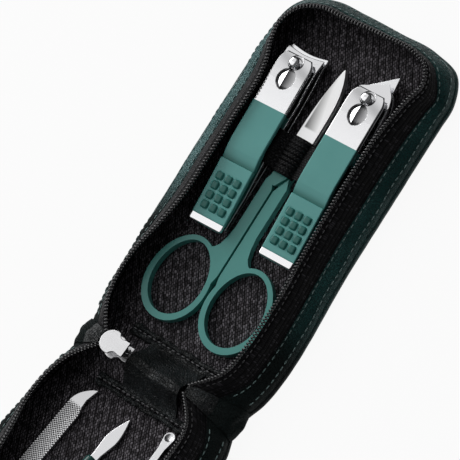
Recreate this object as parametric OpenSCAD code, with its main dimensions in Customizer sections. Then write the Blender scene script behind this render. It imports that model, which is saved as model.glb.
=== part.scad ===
// Manicure set case: a soft zip case that opens like a book, with its tools in place.
// Millimetres, +Z up. X runs across the case and Y along it. The base half lies flat on the table
// at +Y, and the lid half at -Y is raised about the hinge line. The origin is the middle of the
// base half's back panel, on the table.

/* [Case] */
// Width of the case over the piping
case_w = 67.8; // [60:0.2:90]
// Length of one half, from the fold edge to the piping at the far end
half_len = 118.5; // [112:0.5:150]
// Radius of the piping at the far corners
corner_r = 15; // [10:1:20]
// Distance from the hinge line to the fold edge of each back panel
fold_gap = 8; // [7:0.5:10]
// Height of the plane in which the zip halves meet, which is also the hinge line's height
zip_plane = 13.4; // [13.4:0.1:18]
// Height of the seam between side leather and zip tape
seam_z = 6.8; // [6:0.2:8]
// How far the zip leans in from the piping, at the corners
zip_lean = 6.5; // [5:0.1:7]
// Extra inward sag of the zip along the middle of each side
side_sag = 4.2; // [2:0.1:4.6]
// How far the left side of the zip swells out beside the finger loop
side_swell = 3.5; // [3:0.1:4]
// Angle by which the lid half is raised when the case lies open
lid_raise = 17; // [0:1:60]

/* [Materials] */
// Thickness of the outer leather
leather_t = 0.8; // [0.6:0.1:1]
// Thickness of the stiffening board
board_t = 0.9; // [0.6:0.1:1.2]
// Thickness of the lining
lining_t = 0.4; // [0.3:0.1:0.6]
// Radius of the piping
piping_r = 0.9; // [0.7:0.1:1]
// Thickness of the zip tape
tape_t = 0.5; // [0.4:0.1:0.6]
// Radius of the row of zip teeth
coil_r = 0.8; // [0.6:0.1:0.8]

/* [Zip slider] */
// Length of the slider
slider_len = 9.4; // [8:0.2:10]
// Width of the slider at its mouth
slider_w = 7.6; // [7:0.2:8]
// Gap between the two plates of the slider
slider_gap = 3.8; // [3.8:0.1:4.2]
// Thickness of each slider plate
slider_plate_t = 0.7; // [0.6:0.1:0.9]

/* [Clippers] */
// Length of a nail clipper from the lever's tip to its straight cutting edge
clipper_len = 61.5; // [60:0.5:64]
// Width of the lever
lever_w = 12.2; // [11:0.1:12.6]
// Width of the jaws at the cutting edge
jaw_w = 13.6; // [12.8:0.1:14]
// Thickness of the jaw plates and of the lever
plate_t = 1.5; // [1.2:0.1:1.6]
// Distance of the pin from the lever's tip
pin_y = 56.6; // [56:0.1:57]
// Radius of the pin's shank
pin_r = 1.2; // [1:0.1:1.3]
// Radius of the pin's round head
pin_head_r = 1.75; // [1.6:0.05:1.8]
// Distance between neighbouring grip pads
pad_pitch = 3.25; // [3.1:0.05:3.3]
// Side of one grip pad
pad_size = 2.6; // [2.2:0.1:2.8]
// Rows of grip pads along the lever
pad_rows = 4; // [1:1:4]
// Columns of grip pads across the lever
pad_cols = 3; // [1:1:3]

/* [Scissors] */
// Length from the screw to the tip of the blades
blade_len = 32; // [28:1:34]
// Distance from the screw to the middle of the finger loops
loop_reach = 48; // [46.4:0.2:48.4]
// Half width of a finger loop
loop_rx = 10.9; // [10:0.1:11]
// Half length of a finger loop
loop_ry = 14.3; // [12.6:0.1:14.4]
// Width of the loop's rim
rim_w = 1.9; // [1.7:0.1:2.3]
// Thickness of one scissor half at the screw
half_t = 1.4; // [1.2:0.1:1.5]

/* [Lower tools] */
// Length of the nail file
file_len = 92; // [80:1:100]
// Width of the nail file
file_w = 6; // [5:0.1:6.4]
// Length of the pusher with its handle
pusher_len = 90; // [80:1:98]
// Length of the ear pick
pick_len = 94; // [80:1:100]

/* [Hidden] */

$fn = 48;
seam_gap = 0.05;
half_w = case_w / 2;
far_y = fold_gap + half_len;
hinge_y = -(fold_gap + far_y) / 2;
panel_w = half_w - piping_r;
panel_far = far_y - piping_r;
board_z = leather_t;
floor_z = board_z + board_t;
tool_z = floor_z + lining_t + 0.15;
wall_z = leather_t + 2 * piping_r + 2 * seam_gap;
coil_z = zip_plane - coil_r - 0.1;
slider_z = zip_plane + 0.2;

leather_green = [0.05, 0.14, 0.13];
piping_green = [0.08, 0.22, 0.20];
lining_black = [0.10, 0.10, 0.11];
tape_black = [0.05, 0.05, 0.06];
board_grey = [0.45, 0.42, 0.38];
paint_teal = [0.32, 0.58, 0.54];
steel = [0.82, 0.83, 0.85];
chrome = [0.92, 0.92, 0.94];

// ---- Shared functions -----------------------------------------------------------------------

function mix(a, b, t) = a + (b - a) * t;

// 1 at the hinge end and 0 beyond the length given, easing out between
function near_fade(y, length) = pow(1 - min(1, max(0, y) / length), 2);

SIDE_STEPS = 22;
CORNER_STEPS = 8;
FAR_STEPS = 10;

// One side of a ring from the hinge end to the far corner: half width w, far edge at far, radius r,
// sag in the middle, and drawn in by pull[0] over pull[1] mm at the hinge end
function ring_side(w, far, r, sag, near, pull) = [
    for (i = [0:SIDE_STEPS])
        let (t = i / SIDE_STEPS, y = mix(near, far - r, t))
        [w - sag * (1 - pow(abs(2 * t - 1), 4)) - pull[0] * near_fade(y - near, pull[1]), y]];

// A ring round three sides of a half, from the right hinge end to the left hinge end
function ring(w, far, r, sag, near, right_pull, left_pull) = concat(
    ring_side(w, far, r, sag, near, right_pull),
    [for (i = [1:CORNER_STEPS])
        let (a = 90 * i / CORNER_STEPS) [w - r + r * cos(a), far - r + r * sin(a)]],
    [for (i = [1:FAR_STEPS - 1]) [mix(w - r, r - w, i / FAR_STEPS), far]],
    [for (i = [0:CORNER_STEPS - 1])
        let (a = 90 + 90 * i / CORNER_STEPS) [r - w + r * cos(a), far - r + r * sin(a)]],
    let (side = ring_side(w, far, r, sag, near, left_pull))
        [for (i = [SIDE_STEPS:-1:0]) [-side[i][0], side[i][1]]]);

function lift(path, z) = [for (p = path) [p[0], p[1], z]];

// The seam between leather and tape climbs towards the zip plane at the hinge end
function lift_faded(path, z, rise, fade) =
    [for (p = path) [p[0], p[1], z + rise * near_fade(p[1], fade)]];

function unit(v) = v / norm(v);

// Direction square to a path in plan, pointing out of the case
function out_dir(path, i) =
    let (a = path[max(0, i - 1)], b = path[min(len(path) - 1, i + 1)], d = unit([b[0] - a[0], b[1] - a[1]]))
    [d[1], -d[0], 0];

// A path moved out of the case by d and up by dz
function moved(path, d, dz) =
    [for (i = [0:len(path) - 1]) path[i] + d * out_dir(path, i) + [0, 0, dz]];

function mixed(path_a, path_b, t) =
    [for (i = [0:len(path_a) - 1]) mix(path_a[i], path_b[i], t)];

// The left side of a ring swells out around the finger loop
function swollen(path, out) =
    [for (p = path) p[0] < 0 ? p - [out * exp(-pow((p[1] - 25) / 11, 2)), 0, 0] : p];

function reversed(path) = [for (i = [len(path) - 1:-1:0]) path[i]];

// A base-half point carried over to the lid half, which mirrors it and is raised about the hinge line
function on_lid(p) =
    let (y = -p[1], z = p[2] - zip_plane)
    [p[0], y * cos(lid_raise) + z * sin(lid_raise), zip_plane - y * sin(lid_raise) + z * cos(lid_raise)];

// Solid through a closed section whose corners follow the lines, clockwise seen from the first end
module loft(lines) {
    k = len(lines);
    n = len(lines[0]);
    corners = [for (i = [0:n - 1]) for (j = [0:k - 1]) lines[j][i]];
    skin = [for (i = [0:n - 2]) for (j = [0:k - 1])
        let (a = i * k + j, b = i * k + (j + 1) % k)
        each [[a, b, b + k], [a, b + k, a + k]]];
    cap_a = [for (j = [1:k - 2]) [0, j + 1, j]];
    cap_b = [for (j = [1:k - 2]) (n - 1) * k * [1, 1, 1] + [0, j, j + 1]];
    polyhedron(corners, concat(skin, cap_a, cap_b));
}

module tube(path, r) {
    sides = 8;
    loft([for (j = [0:sides - 1]) moved(path, r * cos(360 * j / sides), r * sin(360 * j / sides))]);
}

// ---- Guide lines of one half ----------------------------------------------------------------

PINCH = [3, 27];
WALL_LEAN = 5.1;
WALL_FAR = 3;
edge_ring = ring(panel_w, panel_far, corner_r - piping_r, 0, 4, PINCH, PINCH);
piping_line = lift(edge_ring, leather_t + seam_gap + piping_r);
foot_line = lift(edge_ring, wall_z);
leather_top = swollen(lift(
    ring(half_w - WALL_LEAN, far_y - WALL_FAR, corner_r - 3.6, side_sag - 1.4, 3.6, PINCH, PINCH), seam_z),
    side_swell / 2);
tape_edge = swollen(lift_faded(
    ring(half_w - WALL_LEAN, far_y - WALL_FAR, corner_r - 3.6, side_sag - 1.4, 3.6, [11, 24], [7.5, 20]),
    seam_z, zip_plane - 2 - seam_z, 20), side_swell / 2);
zip_line = swollen(lift(
    ring(half_w - zip_lean, far_y - 4.3, corner_r - 5, side_sag, 1.3, [13.9, 26], [7.5, 12]), coil_z),
    side_swell);
belly_line = moved(mixed(foot_line, leather_top, 0.5), 1.3, 1.0);
teeth_line = moved(zip_line, -coil_r - 0.1, 0);

module base_place() {
    translate([0, hinge_y, 0])
        children();
}

module lid_place() {
    translate([0, hinge_y, zip_plane])
        rotate([-lid_raise, 0, 0])
            translate([0, 0, -zip_plane])
                mirror([0, 1, 0])
                    children();
}

// Back panel outline with its edge drawn in
module panel(inset, z, t) {
    outline = ring(panel_w - inset, panel_far - inset, corner_r - piping_r - inset, 0, fold_gap, [2.2, 23], [2.2, 23]);
    translate([0, 0, z])
        linear_extrude(t)
            polygon(outline);
}

// ---- Case halves ----------------------------------------------------------------------------

module half_back_leather() {
    color(leather_green)
        panel(0, 0, leather_t);
}

module half_board() {
    color(board_grey)
        panel(1.6, board_z, board_t);
}

module half_lining_floor() {
    color(lining_black)
        panel(1.8, floor_z, lining_t);
}

module half_piping() {
    color(piping_green)
        tube(piping_line, piping_r);
}

// Side wall: rises from the piping, rounds over and leans in to the tape
module half_side_leather() {
    color(leather_green)
        loft([
            foot_line, belly_line, leather_top,
            moved(leather_top, -0.6, -leather_t), moved(belly_line, -leather_t, -0.35),
            moved(foot_line, -leather_t, 0)]);
}

// Fabric band that lines the inside of the side wall
module half_lining_band() {
    skin = leather_t + 3 * seam_gap;
    color(lining_black)
        loft([
            moved(foot_line, -skin, 0), moved(belly_line, -skin, -0.4),
            moved(leather_top, -0.65, -skin), moved(leather_top, -1.1, -skin - lining_t),
            moved(belly_line, -skin - lining_t, -0.6), moved(foot_line, -skin - lining_t, 0)]);
}

module half_zip_tape() {
    start = mixed(tape_edge, zip_line, 0.06);
    color(tape_black)
        loft([
            moved(start, 0.05, tape_t / 2), moved(zip_line, 0, tape_t / 2),
            moved(zip_line, 0, -tape_t / 2), moved(start, -0.25, -tape_t / 2)]);
}

module half_zip_teeth() {
    color(tape_black)
        tube(teeth_line, coil_r);
}

// ---- Hinge end ------------------------------------------------------------------------------

// Arched strip across the hinge in the YZ plane: it leaves both halves at height z, y from the
// hinge line, and humps up between them
module hinge_arch(y, z, t, hump, x_from, x_to) {
    steps = 20;
    start = [0, y, z];
    end = on_lid([0, y, z]);
    mid = [for (i = [0:steps])
        let (s = i / steps, p = mix(start, end, s))
        [p[1], p[2] + hump * pow(sin(180 * s), 2)]];
    low = [for (i = [steps:-1:0]) mid[i]];
    high = [for (p = mid) p + [0, t]];
    translate([x_from, 0, 0])
        rotate([90, 0, 90])
            linear_extrude(x_to - x_from)
                polygon(concat(high, low));
}

SPINE_HUMP = 4.4;
STRAP_HUMP = 8.7;
STRAP_LEFT = -9;
STRAP_RIGHT = 12.2;

module spine_leather() {
    color(leather_green)
        base_place()
            hinge_arch(fold_gap - 0.4, 0, leather_t, SPINE_HUMP, 6.3 - half_w, half_w - 6.3);
}

module spine_lining() {
    color(lining_black)
        base_place()
            hinge_arch(fold_gap - 0.4, leather_t + 0.4, lining_t, SPINE_HUMP, 12 - half_w, half_w - 12);
}

module hinge_strap() {
    color(leather_green)
        base_place()
            hinge_arch(fold_gap + 2, floor_z + lining_t + 0.1, leather_t, STRAP_HUMP, STRAP_LEFT, STRAP_RIGHT);
}

// Soft gusset between the side leather and the zip tape, running over from the base to the lid
module gusset(first, last, step) {
    up = [0, 0, tape_t + 0.1];
    outer = [for (i = [first:step:last]) mix(leather_top[i], tape_edge[i], 0.12) + up];
    inner = [for (i = [first:step:last]) mix(leather_top[i], tape_edge[i], 0.9) + up];
    outer_all = concat(outer, [for (p = reversed(outer)) on_lid(p)]);
    inner_all = concat(inner, [for (p = reversed(inner)) on_lid(p)]);
    down = [0, 0, -tape_t];
    loft([outer_all, inner_all, [for (p = inner_all) p + down], [for (p = outer_all) p + down]]);
}

RIGHT_STEPS = 3;
LEFT_STEPS = 2;
LAST = len(leather_top) - 1;

module gusset_right() {
    color(tape_black)
        base_place()
            gusset(RIGHT_STEPS, 0, -1);
}

module gusset_left() {
    color(tape_black)
        base_place()
            gusset(LAST - LEFT_STEPS, LAST, 1);
}

// The slider and the end of the zip lie in the plane half way between the two halves
module zip_place() {
    translate([0, hinge_y, zip_plane])
        rotate([-lid_raise / 2, 0, 0])
            translate([0, 0, -zip_plane])
                children();
}

SLIDER_MOUTH = -18.6;

// Shield-shaped plate: round mouth, drawn-in shoulders and square tail
module slider_plate() {
    mouth_r = slider_w / 2;
    tail_w = slider_w * 0.66;
    difference() {
        union() {
            translate([mouth_r, 0])
                circle(mouth_r);
            translate([mouth_r, -tail_w / 2])
                square([slider_len - mouth_r, tail_w]);
        }
        for (side = [-1, 1])
            translate([mouth_r + 3, side * (mouth_r + 0.45)])
                circle(2);
    }
}

module zip_slider() {
    bridge_w = 0.6;
    color(chrome)
        zip_place()
            translate([SLIDER_MOUTH, 0, slider_z]) {
                for (side = [-1, 1])
                    translate([0, 0, side > 0 ? slider_gap / 2 : -slider_gap / 2 - slider_plate_t])
                        linear_extrude(slider_plate_t)
                            slider_plate();
                translate([1.3, -bridge_w / 2, -slider_gap / 2 - 0.1])
                    cube([2, bridge_w, slider_gap + 0.2]);
                pull_ears();
            }
}

TAB_PIN_X = 5;
TAB_PIN_R = 0.5;
TAB_DROP = 1.2;
tab_pin_z = -slider_gap / 2 - slider_plate_t - TAB_DROP;

// Bar under the outer plate that the pull tab hangs on
module pull_ears() {
    for (side = [-1, 1])
        translate([TAB_PIN_X - 1, side * 1.9 - 0.4, tab_pin_z - 0.6])
            cube([2, 0.8, TAB_DROP + 0.7]);
    translate([TAB_PIN_X, 1.6, tab_pin_z])
        rotate([90, 0, 0])
            cylinder(h = 3.2, r = TAB_PIN_R);
}

module zip_pull_tab() {
    tab_len = 12;
    tab_w = 2.8;
    tab_t = 1;
    color(chrome)
        zip_place()
            translate([SLIDER_MOUTH + TAB_PIN_X, 0, slider_z + tab_pin_z])
                difference() {
                    union() {
                        rotate([90, 0, 0])
                            translate([0, 0, -tab_w / 2])
                                cylinder(h = tab_w, r = TAB_PIN_R + 0.55);
                        translate([0, -tab_w / 2, -0.95])
                            cube([tab_len - tab_w / 2, tab_w, tab_t]);
                        translate([tab_len - tab_w / 2, 0, -0.95])
                            cylinder(h = tab_t, r = tab_w / 2);
                    }
                    rotate([90, 0, 0])
                        translate([0, 0, -tab_w])
                            cylinder(h = 2 * tab_w, r = TAB_PIN_R + 0.05);
                }
}

// The joined end of the zip, from inside the slider to under the strap
module zip_chain_end() {
    chain_x = SLIDER_MOUTH + 3.5;
    color(tape_black)
        zip_place()
            for (side = [-1, 1])
                translate([chain_x, side * (coil_r + 0.02), coil_z])
                    rotate([0, 90, 0])
                        cylinder(h = STRAP_LEFT - 0.3 - chain_x, r = coil_r);
}

// Leather tab folded over the two ends of the zip at the other end of the hinge
module zip_end_tab() {
    color(leather_green)
        zip_place()
            translate([STRAP_RIGHT + 0.3, -2.2, coil_z - 2])
                cube([1.6, 4.4, 0.8]);
}

// ---- Nail clippers --------------------------------------------------------------------------

STRAIGHT_REAR = [-13.0, 45.2];
STRAIGHT_LEAN = 1.8;
OBLIQUE_REAR = [13.5, 46.2];
OBLIQUE_LEAN = 1.2;

module straight_place() {
    base_place()
        translate([STRAIGHT_REAR[0], STRAIGHT_REAR[1], tool_z])
            rotate([0, 0, STRAIGHT_LEAN])
                children();
}

module oblique_place() {
    base_place()
        translate([OBLIQUE_REAR[0], OBLIQUE_REAR[1], tool_z])
            rotate([0, 0, OBLIQUE_LEAN])
                children();
}

// Side outline drawn in Y and Z, spread across the clipper's width
module side_slab(outline) {
    translate([-jaw_w, 0, 0])
        rotate([90, 0, 90])
            linear_extrude(2 * jaw_w)
                polygon(outline);
}

module plan_slab(outline) {
    translate([0, 0, -1])
        linear_extrude(20)
            polygon(outline);
}

JAW_REAR = 1.6;
REAR_W = 11.2;
EDGE_Z = 3.1;
JAW_OPEN = 1.4;

// Plan of a jaw with a straight cutting edge that curves in slightly
function straight_plan(reach) = concat(
    [[-REAR_W / 2, JAW_REAR], [REAR_W / 2, JAW_REAR], [lever_w / 2 + 0.3, 40], [jaw_w / 2 - 0.3, 52]],
    [for (i = [0:8])
        let (t = i / 8) [mix(jaw_w / 2, -jaw_w / 2, t), clipper_len + reach - 0.9 * sin(180 * t)]],
    [[-jaw_w / 2 + 0.3, 52], [-lever_w / 2 - 0.3, 40]]);

// Plan of a jaw whose cutting edge runs forward to the right and rounds back into the side
function oblique_plan(reach) = concat(
    [[-REAR_W / 2, JAW_REAR], [REAR_W / 2, JAW_REAR], [lever_w / 2 + 0.3, 40], [jaw_w / 2 + 0.2, 52]],
    [for (i = [0:6])
        let (a = 10 + 55 * i / 6) [jaw_w / 2 - 5 + 5.2 * cos(a), 53.5 + 9.6 * sin(a)]],
    [[2.4 + reach * 0.3, clipper_len + 2.6 + reach], [-5.6, clipper_len - 1.6 + reach * 0.2],
        [-jaw_w / 2 + 0.4, 56], [-jaw_w / 2 + 0.3, 52], [-lever_w / 2 - 0.3, 40]]);

// Lower plate: flat belly, rising to the cutting edge
module lower_jaw(plan, reach) {
    tip = clipper_len + reach + 0.4;
    difference() {
        intersection() {
            side_slab([
                [JAW_REAR, 0.1], [6, 0], [46, 0], [53, 0.4], [58, 1.3], [tip, EDGE_Z - 0.6],
                [tip, EDGE_Z], [57, 2.9], [52.5, plate_t + 0.5], [46, plate_t], [JAW_REAR, plate_t]]);
            plan_slab(plan);
        }
        translate([0, pin_y, -1])
            cylinder(h = 8, r = pin_r + 0.1);
        translate([0, RIVET_Y, -1])
            cylinder(h = 8, r = RIVET_R);
    }
}

BODY_TOP = 5;
HEAD_TOP = 5.9;

// Upper plate: lies on the lower one at the rear, rises over it and comes down to the edge
module upper_jaw(plan, tip) {
    difference() {
        intersection() {
            side_slab([
                [JAW_REAR, plate_t + 0.05], [14, plate_t + 0.05], [27, BODY_TOP - plate_t],
                [46, BODY_TOP - plate_t], [53, HEAD_TOP - plate_t], [58, EDGE_Z + JAW_OPEN + 0.1],
                [tip, EDGE_Z + JAW_OPEN], [tip, EDGE_Z + JAW_OPEN + 0.4], [60.4, EDGE_Z + JAW_OPEN + 0.8],
                [57, HEAD_TOP], [52, HEAD_TOP - 0.1], [46, BODY_TOP],
                [27, BODY_TOP], [14, 2 * plate_t + 0.05], [JAW_REAR, 2 * plate_t + 0.05]]);
            plan_slab(plan);
        }
        translate([0, pin_y, 0])
            cylinder(h = 12, r = pin_r + 0.4);
        translate([0, RIVET_Y, -1])
            cylinder(h = 8, r = RIVET_R + 0.15);
    }
}

RIVET_Y = 6;
RIVET_R = 1.1;

module clipper_rivet() {
    translate([0, RIVET_Y, 0.05])
        cylinder(h = 2 * plate_t + 0.3, r = RIVET_R);
    translate([0, RIVET_Y, 2 * plate_t + 0.35])
        cylinder(h = 0.4, r = RIVET_R + 0.5);
}

LEVER_Z = 7.1;
PIN_NECK_R = 0.9;
PIN_HEAD_H = 1.5;

// Pin: shank in both jaws, narrower neck through the lever, round head on top
module clipper_pin() {
    head_z = LEVER_Z + plate_t + 0.1;
    rim = pin_head_r;
    translate([0, pin_y, 0])
        rotate_extrude()
            polygon([
                [0, 0.3], [pin_r, 0.3], [pin_r, BODY_TOP - 0.2], [PIN_NECK_R, BODY_TOP], [PIN_NECK_R, head_z],
                [rim - 0.3, head_z], [rim, head_z + 0.3], [rim, head_z + 0.7], [rim - 0.3, head_z + 1.15],
                [rim - 0.9, head_z + PIN_HEAD_H - 0.08], [0, head_z + PIN_HEAD_H]]);
}

STEP_Y = 21;
TIP_LEN = 2.6;
FRONT_Y = 59.4;

// Plan of the lever: straight sides, round shoulders ahead of the pin
module lever_plan() {
    shoulder = 4.2;
    translate([-lever_w / 2, 0])
        square([lever_w, FRONT_Y - shoulder]);
    translate([0, FRONT_Y - shoulder])
        intersection() {
            circle(lever_w / 2);
            translate([-lever_w / 2, -1])
                square([lever_w, shoulder + 1]);
        }
}

// Lever: bright head with a leaf-shaped recess, two panels that meet at a bent step, grip pads, bright tip
module clipper_lever() {
    top = LEVER_Z + plate_t;
    color(chrome)
        difference() {
            intersection() {
                side_slab([
                    [0, 4.4], [0, 5.9], [0.6, 6.3], [TIP_LEN, 6.2], [STEP_Y, 7.7], [STEP_Y + 0.25, 7.1],
                    [STEP_Y + 4, top - 0.25], [STEP_Y + 8, top], [FRONT_Y - 2.2, top], [FRONT_Y, top - 0.8],
                    [FRONT_Y, LEVER_Z + 0.6], [FRONT_Y - 2.2, LEVER_Z], [STEP_Y + 8, LEVER_Z],
                    [STEP_Y + 1.2, LEVER_Z - 1.6], [STEP_Y - 2, 6.0], [TIP_LEN, 4.7]]);
                linear_extrude(20)
                    lever_plan();
            }
            pin_slot();
            leaf_recess();
        }
    color(paint_teal)
        intersection() {
            grip_pads();
            linear_extrude(20)
                lever_plan();
        }
}

SLOT_FRONT = 0.8;

// Slot that lets the lever tip up on the pin's neck
module pin_slot() {
    r = PIN_NECK_R + 0.1;
    translate([0, pin_y, 0])
        linear_extrude(20) {
            circle(r);
            translate([0, SLOT_FRONT])
                circle(r);
            translate([-r, 0])
                square([2 * r, SLOT_FRONT]);
        }
}

LEAF_LEN = 7.4;
LEAF_W = 6.2;
LEAF_DEPTH = 0.7;

// Leaf-shaped hollow behind the pin, with a ridge left standing along its middle
module leaf_recess() {
    r = (LEAF_LEN * LEAF_LEN / 4 + LEAF_W * LEAF_W / 4) / LEAF_W;
    translate([0, pin_y - 1.9 - LEAF_LEN / 2, LEVER_Z + plate_t - LEAF_DEPTH])
        linear_extrude(4)
            intersection() {
                translate([r - LEAF_W / 2, 0])
                    circle(r);
                translate([LEAF_W / 2 - r, 0])
                    circle(r);
            }
}

module grip_pads() {
    first_y = 5.9;
    slope = atan2(1.5, STEP_Y - TIP_LEN);
    for (col = [0:pad_cols - 1])
        for (row = [0:pad_rows - 1])
            translate([(col - (pad_cols - 1) / 2) * pad_pitch, first_y + row * pad_pitch, 0])
                translate([0, 0, 6.2 + (first_y + row * pad_pitch - TIP_LEN) * tan(slope) - 0.2])
                    rotate([slope, 0, 0])
                        grip_pad();
}

module grip_pad() {
    r = 0.7;
    side = pad_size - 2 * r;
    linear_extrude(0.75) {
        square([side, pad_size], center = true);
        square([pad_size, side], center = true);
        for (x = [-1, 1])
            for (y = [-1, 1])
                translate([x * side / 2, y * side / 2])
                    circle(r);
    }
}

LOWER_REACH = 1.2;
OBLIQUE_REACH = 3.6;

module straight_clipper_lower_jaw() {
    color(steel)
        straight_place()
            lower_jaw(straight_plan(LOWER_REACH), LOWER_REACH);
}

module straight_clipper_upper_jaw() {
    color(chrome)
        straight_place()
            upper_jaw(straight_plan(0), clipper_len + 0.2);
}

module straight_clipper_rivet() {
    color(steel)
        straight_place()
            clipper_rivet();
}

module straight_clipper_pin() {
    color(chrome)
        straight_place()
            clipper_pin();
}

module straight_clipper_lever() {
    straight_place()
        clipper_lever();
}

module oblique_clipper_lower_jaw() {
    color(steel)
        oblique_place()
            lower_jaw(oblique_plan(OBLIQUE_REACH), OBLIQUE_REACH + 3);
}

module oblique_clipper_upper_jaw() {
    color(chrome)
        oblique_place()
            upper_jaw(oblique_plan(0), clipper_len + 3);
}

module oblique_clipper_rivet() {
    color(steel)
        oblique_place()
            clipper_rivet();
}

module oblique_clipper_pin() {
    color(chrome)
        oblique_place()
            clipper_pin();
}

module oblique_clipper_lever() {
    oblique_place()
        clipper_lever();
}

// ---- Scissors -------------------------------------------------------------------------------

SCREW_AT = [-1.1, 76];
SCISSORS_LEAN = -0.3;
SCREW_R = 1.5;
SHANK_W = 3.7;
SHANK_GAP = 0.35;
BLADE_W = 6.3;
LAYER_GAP = 0.05;
loop_x = loop_rx + 0.45;

module scissors_place() {
    base_place()
        translate([SCREW_AT[0], SCREW_AT[1], tool_z])
            rotate([0, 0, SCISSORS_LEAN])
                children();
}

// Egg-shaped ring in plan
module loop_outline() {
    difference() {
        ellipse(loop_rx, loop_ry);
        translate([0.1, 0.3])
            ellipse(loop_rx - rim_w, loop_ry - rim_w);
    }
}

module ellipse(rx, ry) {
    steps = 40;
    polygon([for (i = [0:steps - 1])
        let (a = 360 * i / steps)
        [rx * cos(a) * (1 - 0.06 * sin(a)), ry * sin(a)]]);
}

// Shank of the left half in plan, with the web that spreads into the loop
module shank_plan() {
    top = -5.5;
    polygon([
        [-SHANK_GAP, top - 5.5], [-SHANK_GAP, -loop_reach + 6], [-1.1, -loop_reach + 2.5],
        [-2.4, -loop_reach + 7], [-4.2, -loop_reach + 10.4], [-7.8, -loop_reach + 12.9],
        [-6.6, -loop_reach + 13.6], [-5.4, -loop_reach + 15.2], [-4.6, -loop_reach + 18],
        [-SHANK_W - SHANK_GAP, -loop_reach + 22], [-SHANK_W - SHANK_GAP, top - 3.2], [-SHANK_W + 0.9, top]]);
}

// One half: loop and shank at full thickness, neck and blade in its own layer
module scissor_half(layer_z, turned) {
    full_t = 2 * half_t + LAYER_GAP;
    difference() {
        union() {
            linear_extrude(full_t)
                difference() {
                    translate([-loop_x, -loop_reach])
                        loop_outline();
                    translate([-SHANK_GAP, -100])
                        square([20, 200]);
                }
            linear_extrude(full_t)
                difference() {
                    shank_plan();
                    translate([-loop_x + 0.1, -loop_reach + 0.3])
                        ellipse(loop_rx - rim_w, loop_ry - rim_w);
                }
            translate([0, 0, layer_z])
                linear_extrude(half_t)
                    blade_plan(turned);
        }
        translate([0, 0, -1])
            cylinder(h = 10, r = SCREW_R + 0.05);
    }
}

// Neck and blade in plan: wide at the screw, curving aside to a fine point. The half that is
// turned over swaps its two edges, so that both blades curve the same way
module blade_plan(turned) {
    half = BLADE_W / 2;
    steps = [for (i = [0:12]) i / 12];
    bowed = [for (s = steps) [half - 3.85 * pow(s, 4), mix(7, blade_len, s)]];
    straighter = [for (s = steps) [half - 2.2 * pow(s, 2.5), mix(7, blade_len, s)]];
    right = turned ? straighter : bowed;
    left = turned ? bowed : straighter;
    polygon(concat(
        [[-SHANK_W - SHANK_GAP + 0.6, -9.4], [-SHANK_GAP, -9.4], [half, -3.5]],
        right,
        [for (p = reversed(left)) [-p[0], p[1]]],
        [[-half, -2.5]]));
}

module scissors_left_half() {
    color(paint_teal)
        scissors_place()
            scissor_half(half_t + LAYER_GAP, false);
}

module scissors_right_half() {
    color(paint_teal)
        scissors_place()
            mirror([1, 0, 0])
                scissor_half(0, true);
}

module scissors_screw() {
    color(steel)
        scissors_place() {
            translate([0, 0, 0.05])
                cylinder(h = 2 * half_t + LAYER_GAP, r = SCREW_R);
            translate([0, 0, 2 * half_t + 0.1])
                cylinder(h = 0.35, r = SCREW_R + 0.7);
        }
}

// ---- Elastic --------------------------------------------------------------------------------

BAND_Y = 70.8;
BAND_W = 12;
BAND_T = 0.5;

// Strip bent over the tools: the points give its underside in X and Z
module band_strip(under, y, width, t) {
    translate([0, y + width, 0])
        rotate([90, 0, 0])
            linear_extrude(width)
                polygon(concat(under, [for (p = reversed(under)) p + [0, t]]));
}

over_body = tool_z + BODY_TOP + 0.15;
over_scissors = tool_z + 2 * half_t + 0.65;
band_foot = floor_z + lining_t + 0.1;

module elastic_band() {
    color(tape_black)
        base_place()
            band_strip([
                [-23.4, band_foot], [-21.2, over_body], [-6.9, over_body], [-5.6, over_scissors],
                [2.4, over_scissors], [6.2, over_body], [20.8, over_body], [23, band_foot]],
                BAND_Y, BAND_W, BAND_T);
}

module elastic_sleeve() {
    sleeve_z = over_scissors + BAND_T + 0.15;
    color(tape_black)
        base_place()
            band_strip([[-4.9, sleeve_z - 0.05], [-4.2, sleeve_z], [1.6, sleeve_z], [2.1, sleeve_z - 0.05]],
                BAND_Y - 0.4, BAND_W + 0.8, 0.7);
}

// ---- Tools of the lid half ------------------------------------------------------------------

FILE_AT = [-17.1, 11.5];
PUSHER_AT = [0.5, 13.9];
PICK_AT = [14.4, 10.3];
PUSHER_LEAN = 4.5;
PICK_LEAN = -3.4;

module file_place() {
    lid_place()
        translate([FILE_AT[0], FILE_AT[1], tool_z])
            children();
}

module pusher_place() {
    lid_place()
        translate([PUSHER_AT[0], PUSHER_AT[1], tool_z])
            rotate([0, 0, PUSHER_LEAN])
                children();
}

module pick_place() {
    lid_place()
        translate([PICK_AT[0], PICK_AT[1], tool_z])
            rotate([0, 0, PICK_LEAN])
                children();
}

// Nail file: flat blade with a hooked cleaning tip
module nail_file() {
    half = file_w / 2;
    color(steel)
        file_place()
            linear_extrude(1.2)
                polygon(concat(
                    [[half, 10], [half, file_len - half]],
                    [for (i = [1:9]) let (a = 20 * i) [half * cos(a), file_len - half + half * sin(a)]],
                    [[-half, 8.4]],
                    [for (i = [1:7]) let (t = i / 8) [half * (1.9 * t * t - 1), 8.4 * (1 - pow(t, 0.8))]],
                    [[half, 0.2], [half - 0.6, 2.6], [half - 1.1, 4.8], [half - 0.9, 7.2]]));
}

PUSHER_BLADE = 17;

// Cuticle pusher: spear-shaped blade let into a painted handle
module pusher_blade() {
    color(steel)
        pusher_place()
            linear_extrude(1.2)
                polygon(concat(
                    [for (i = [0:8]) let (t = i / 8) [-2.3 * sin(90 * t), 9.5 * t]],
                    [[-1.5, 15], [-1.5, PUSHER_BLADE], [1.5, PUSHER_BLADE], [1.5, 15]],
                    [for (i = [8:-1:1]) let (t = i / 8) [2.3 * sin(90 * t), 9.5 * t]]));
}

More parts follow.
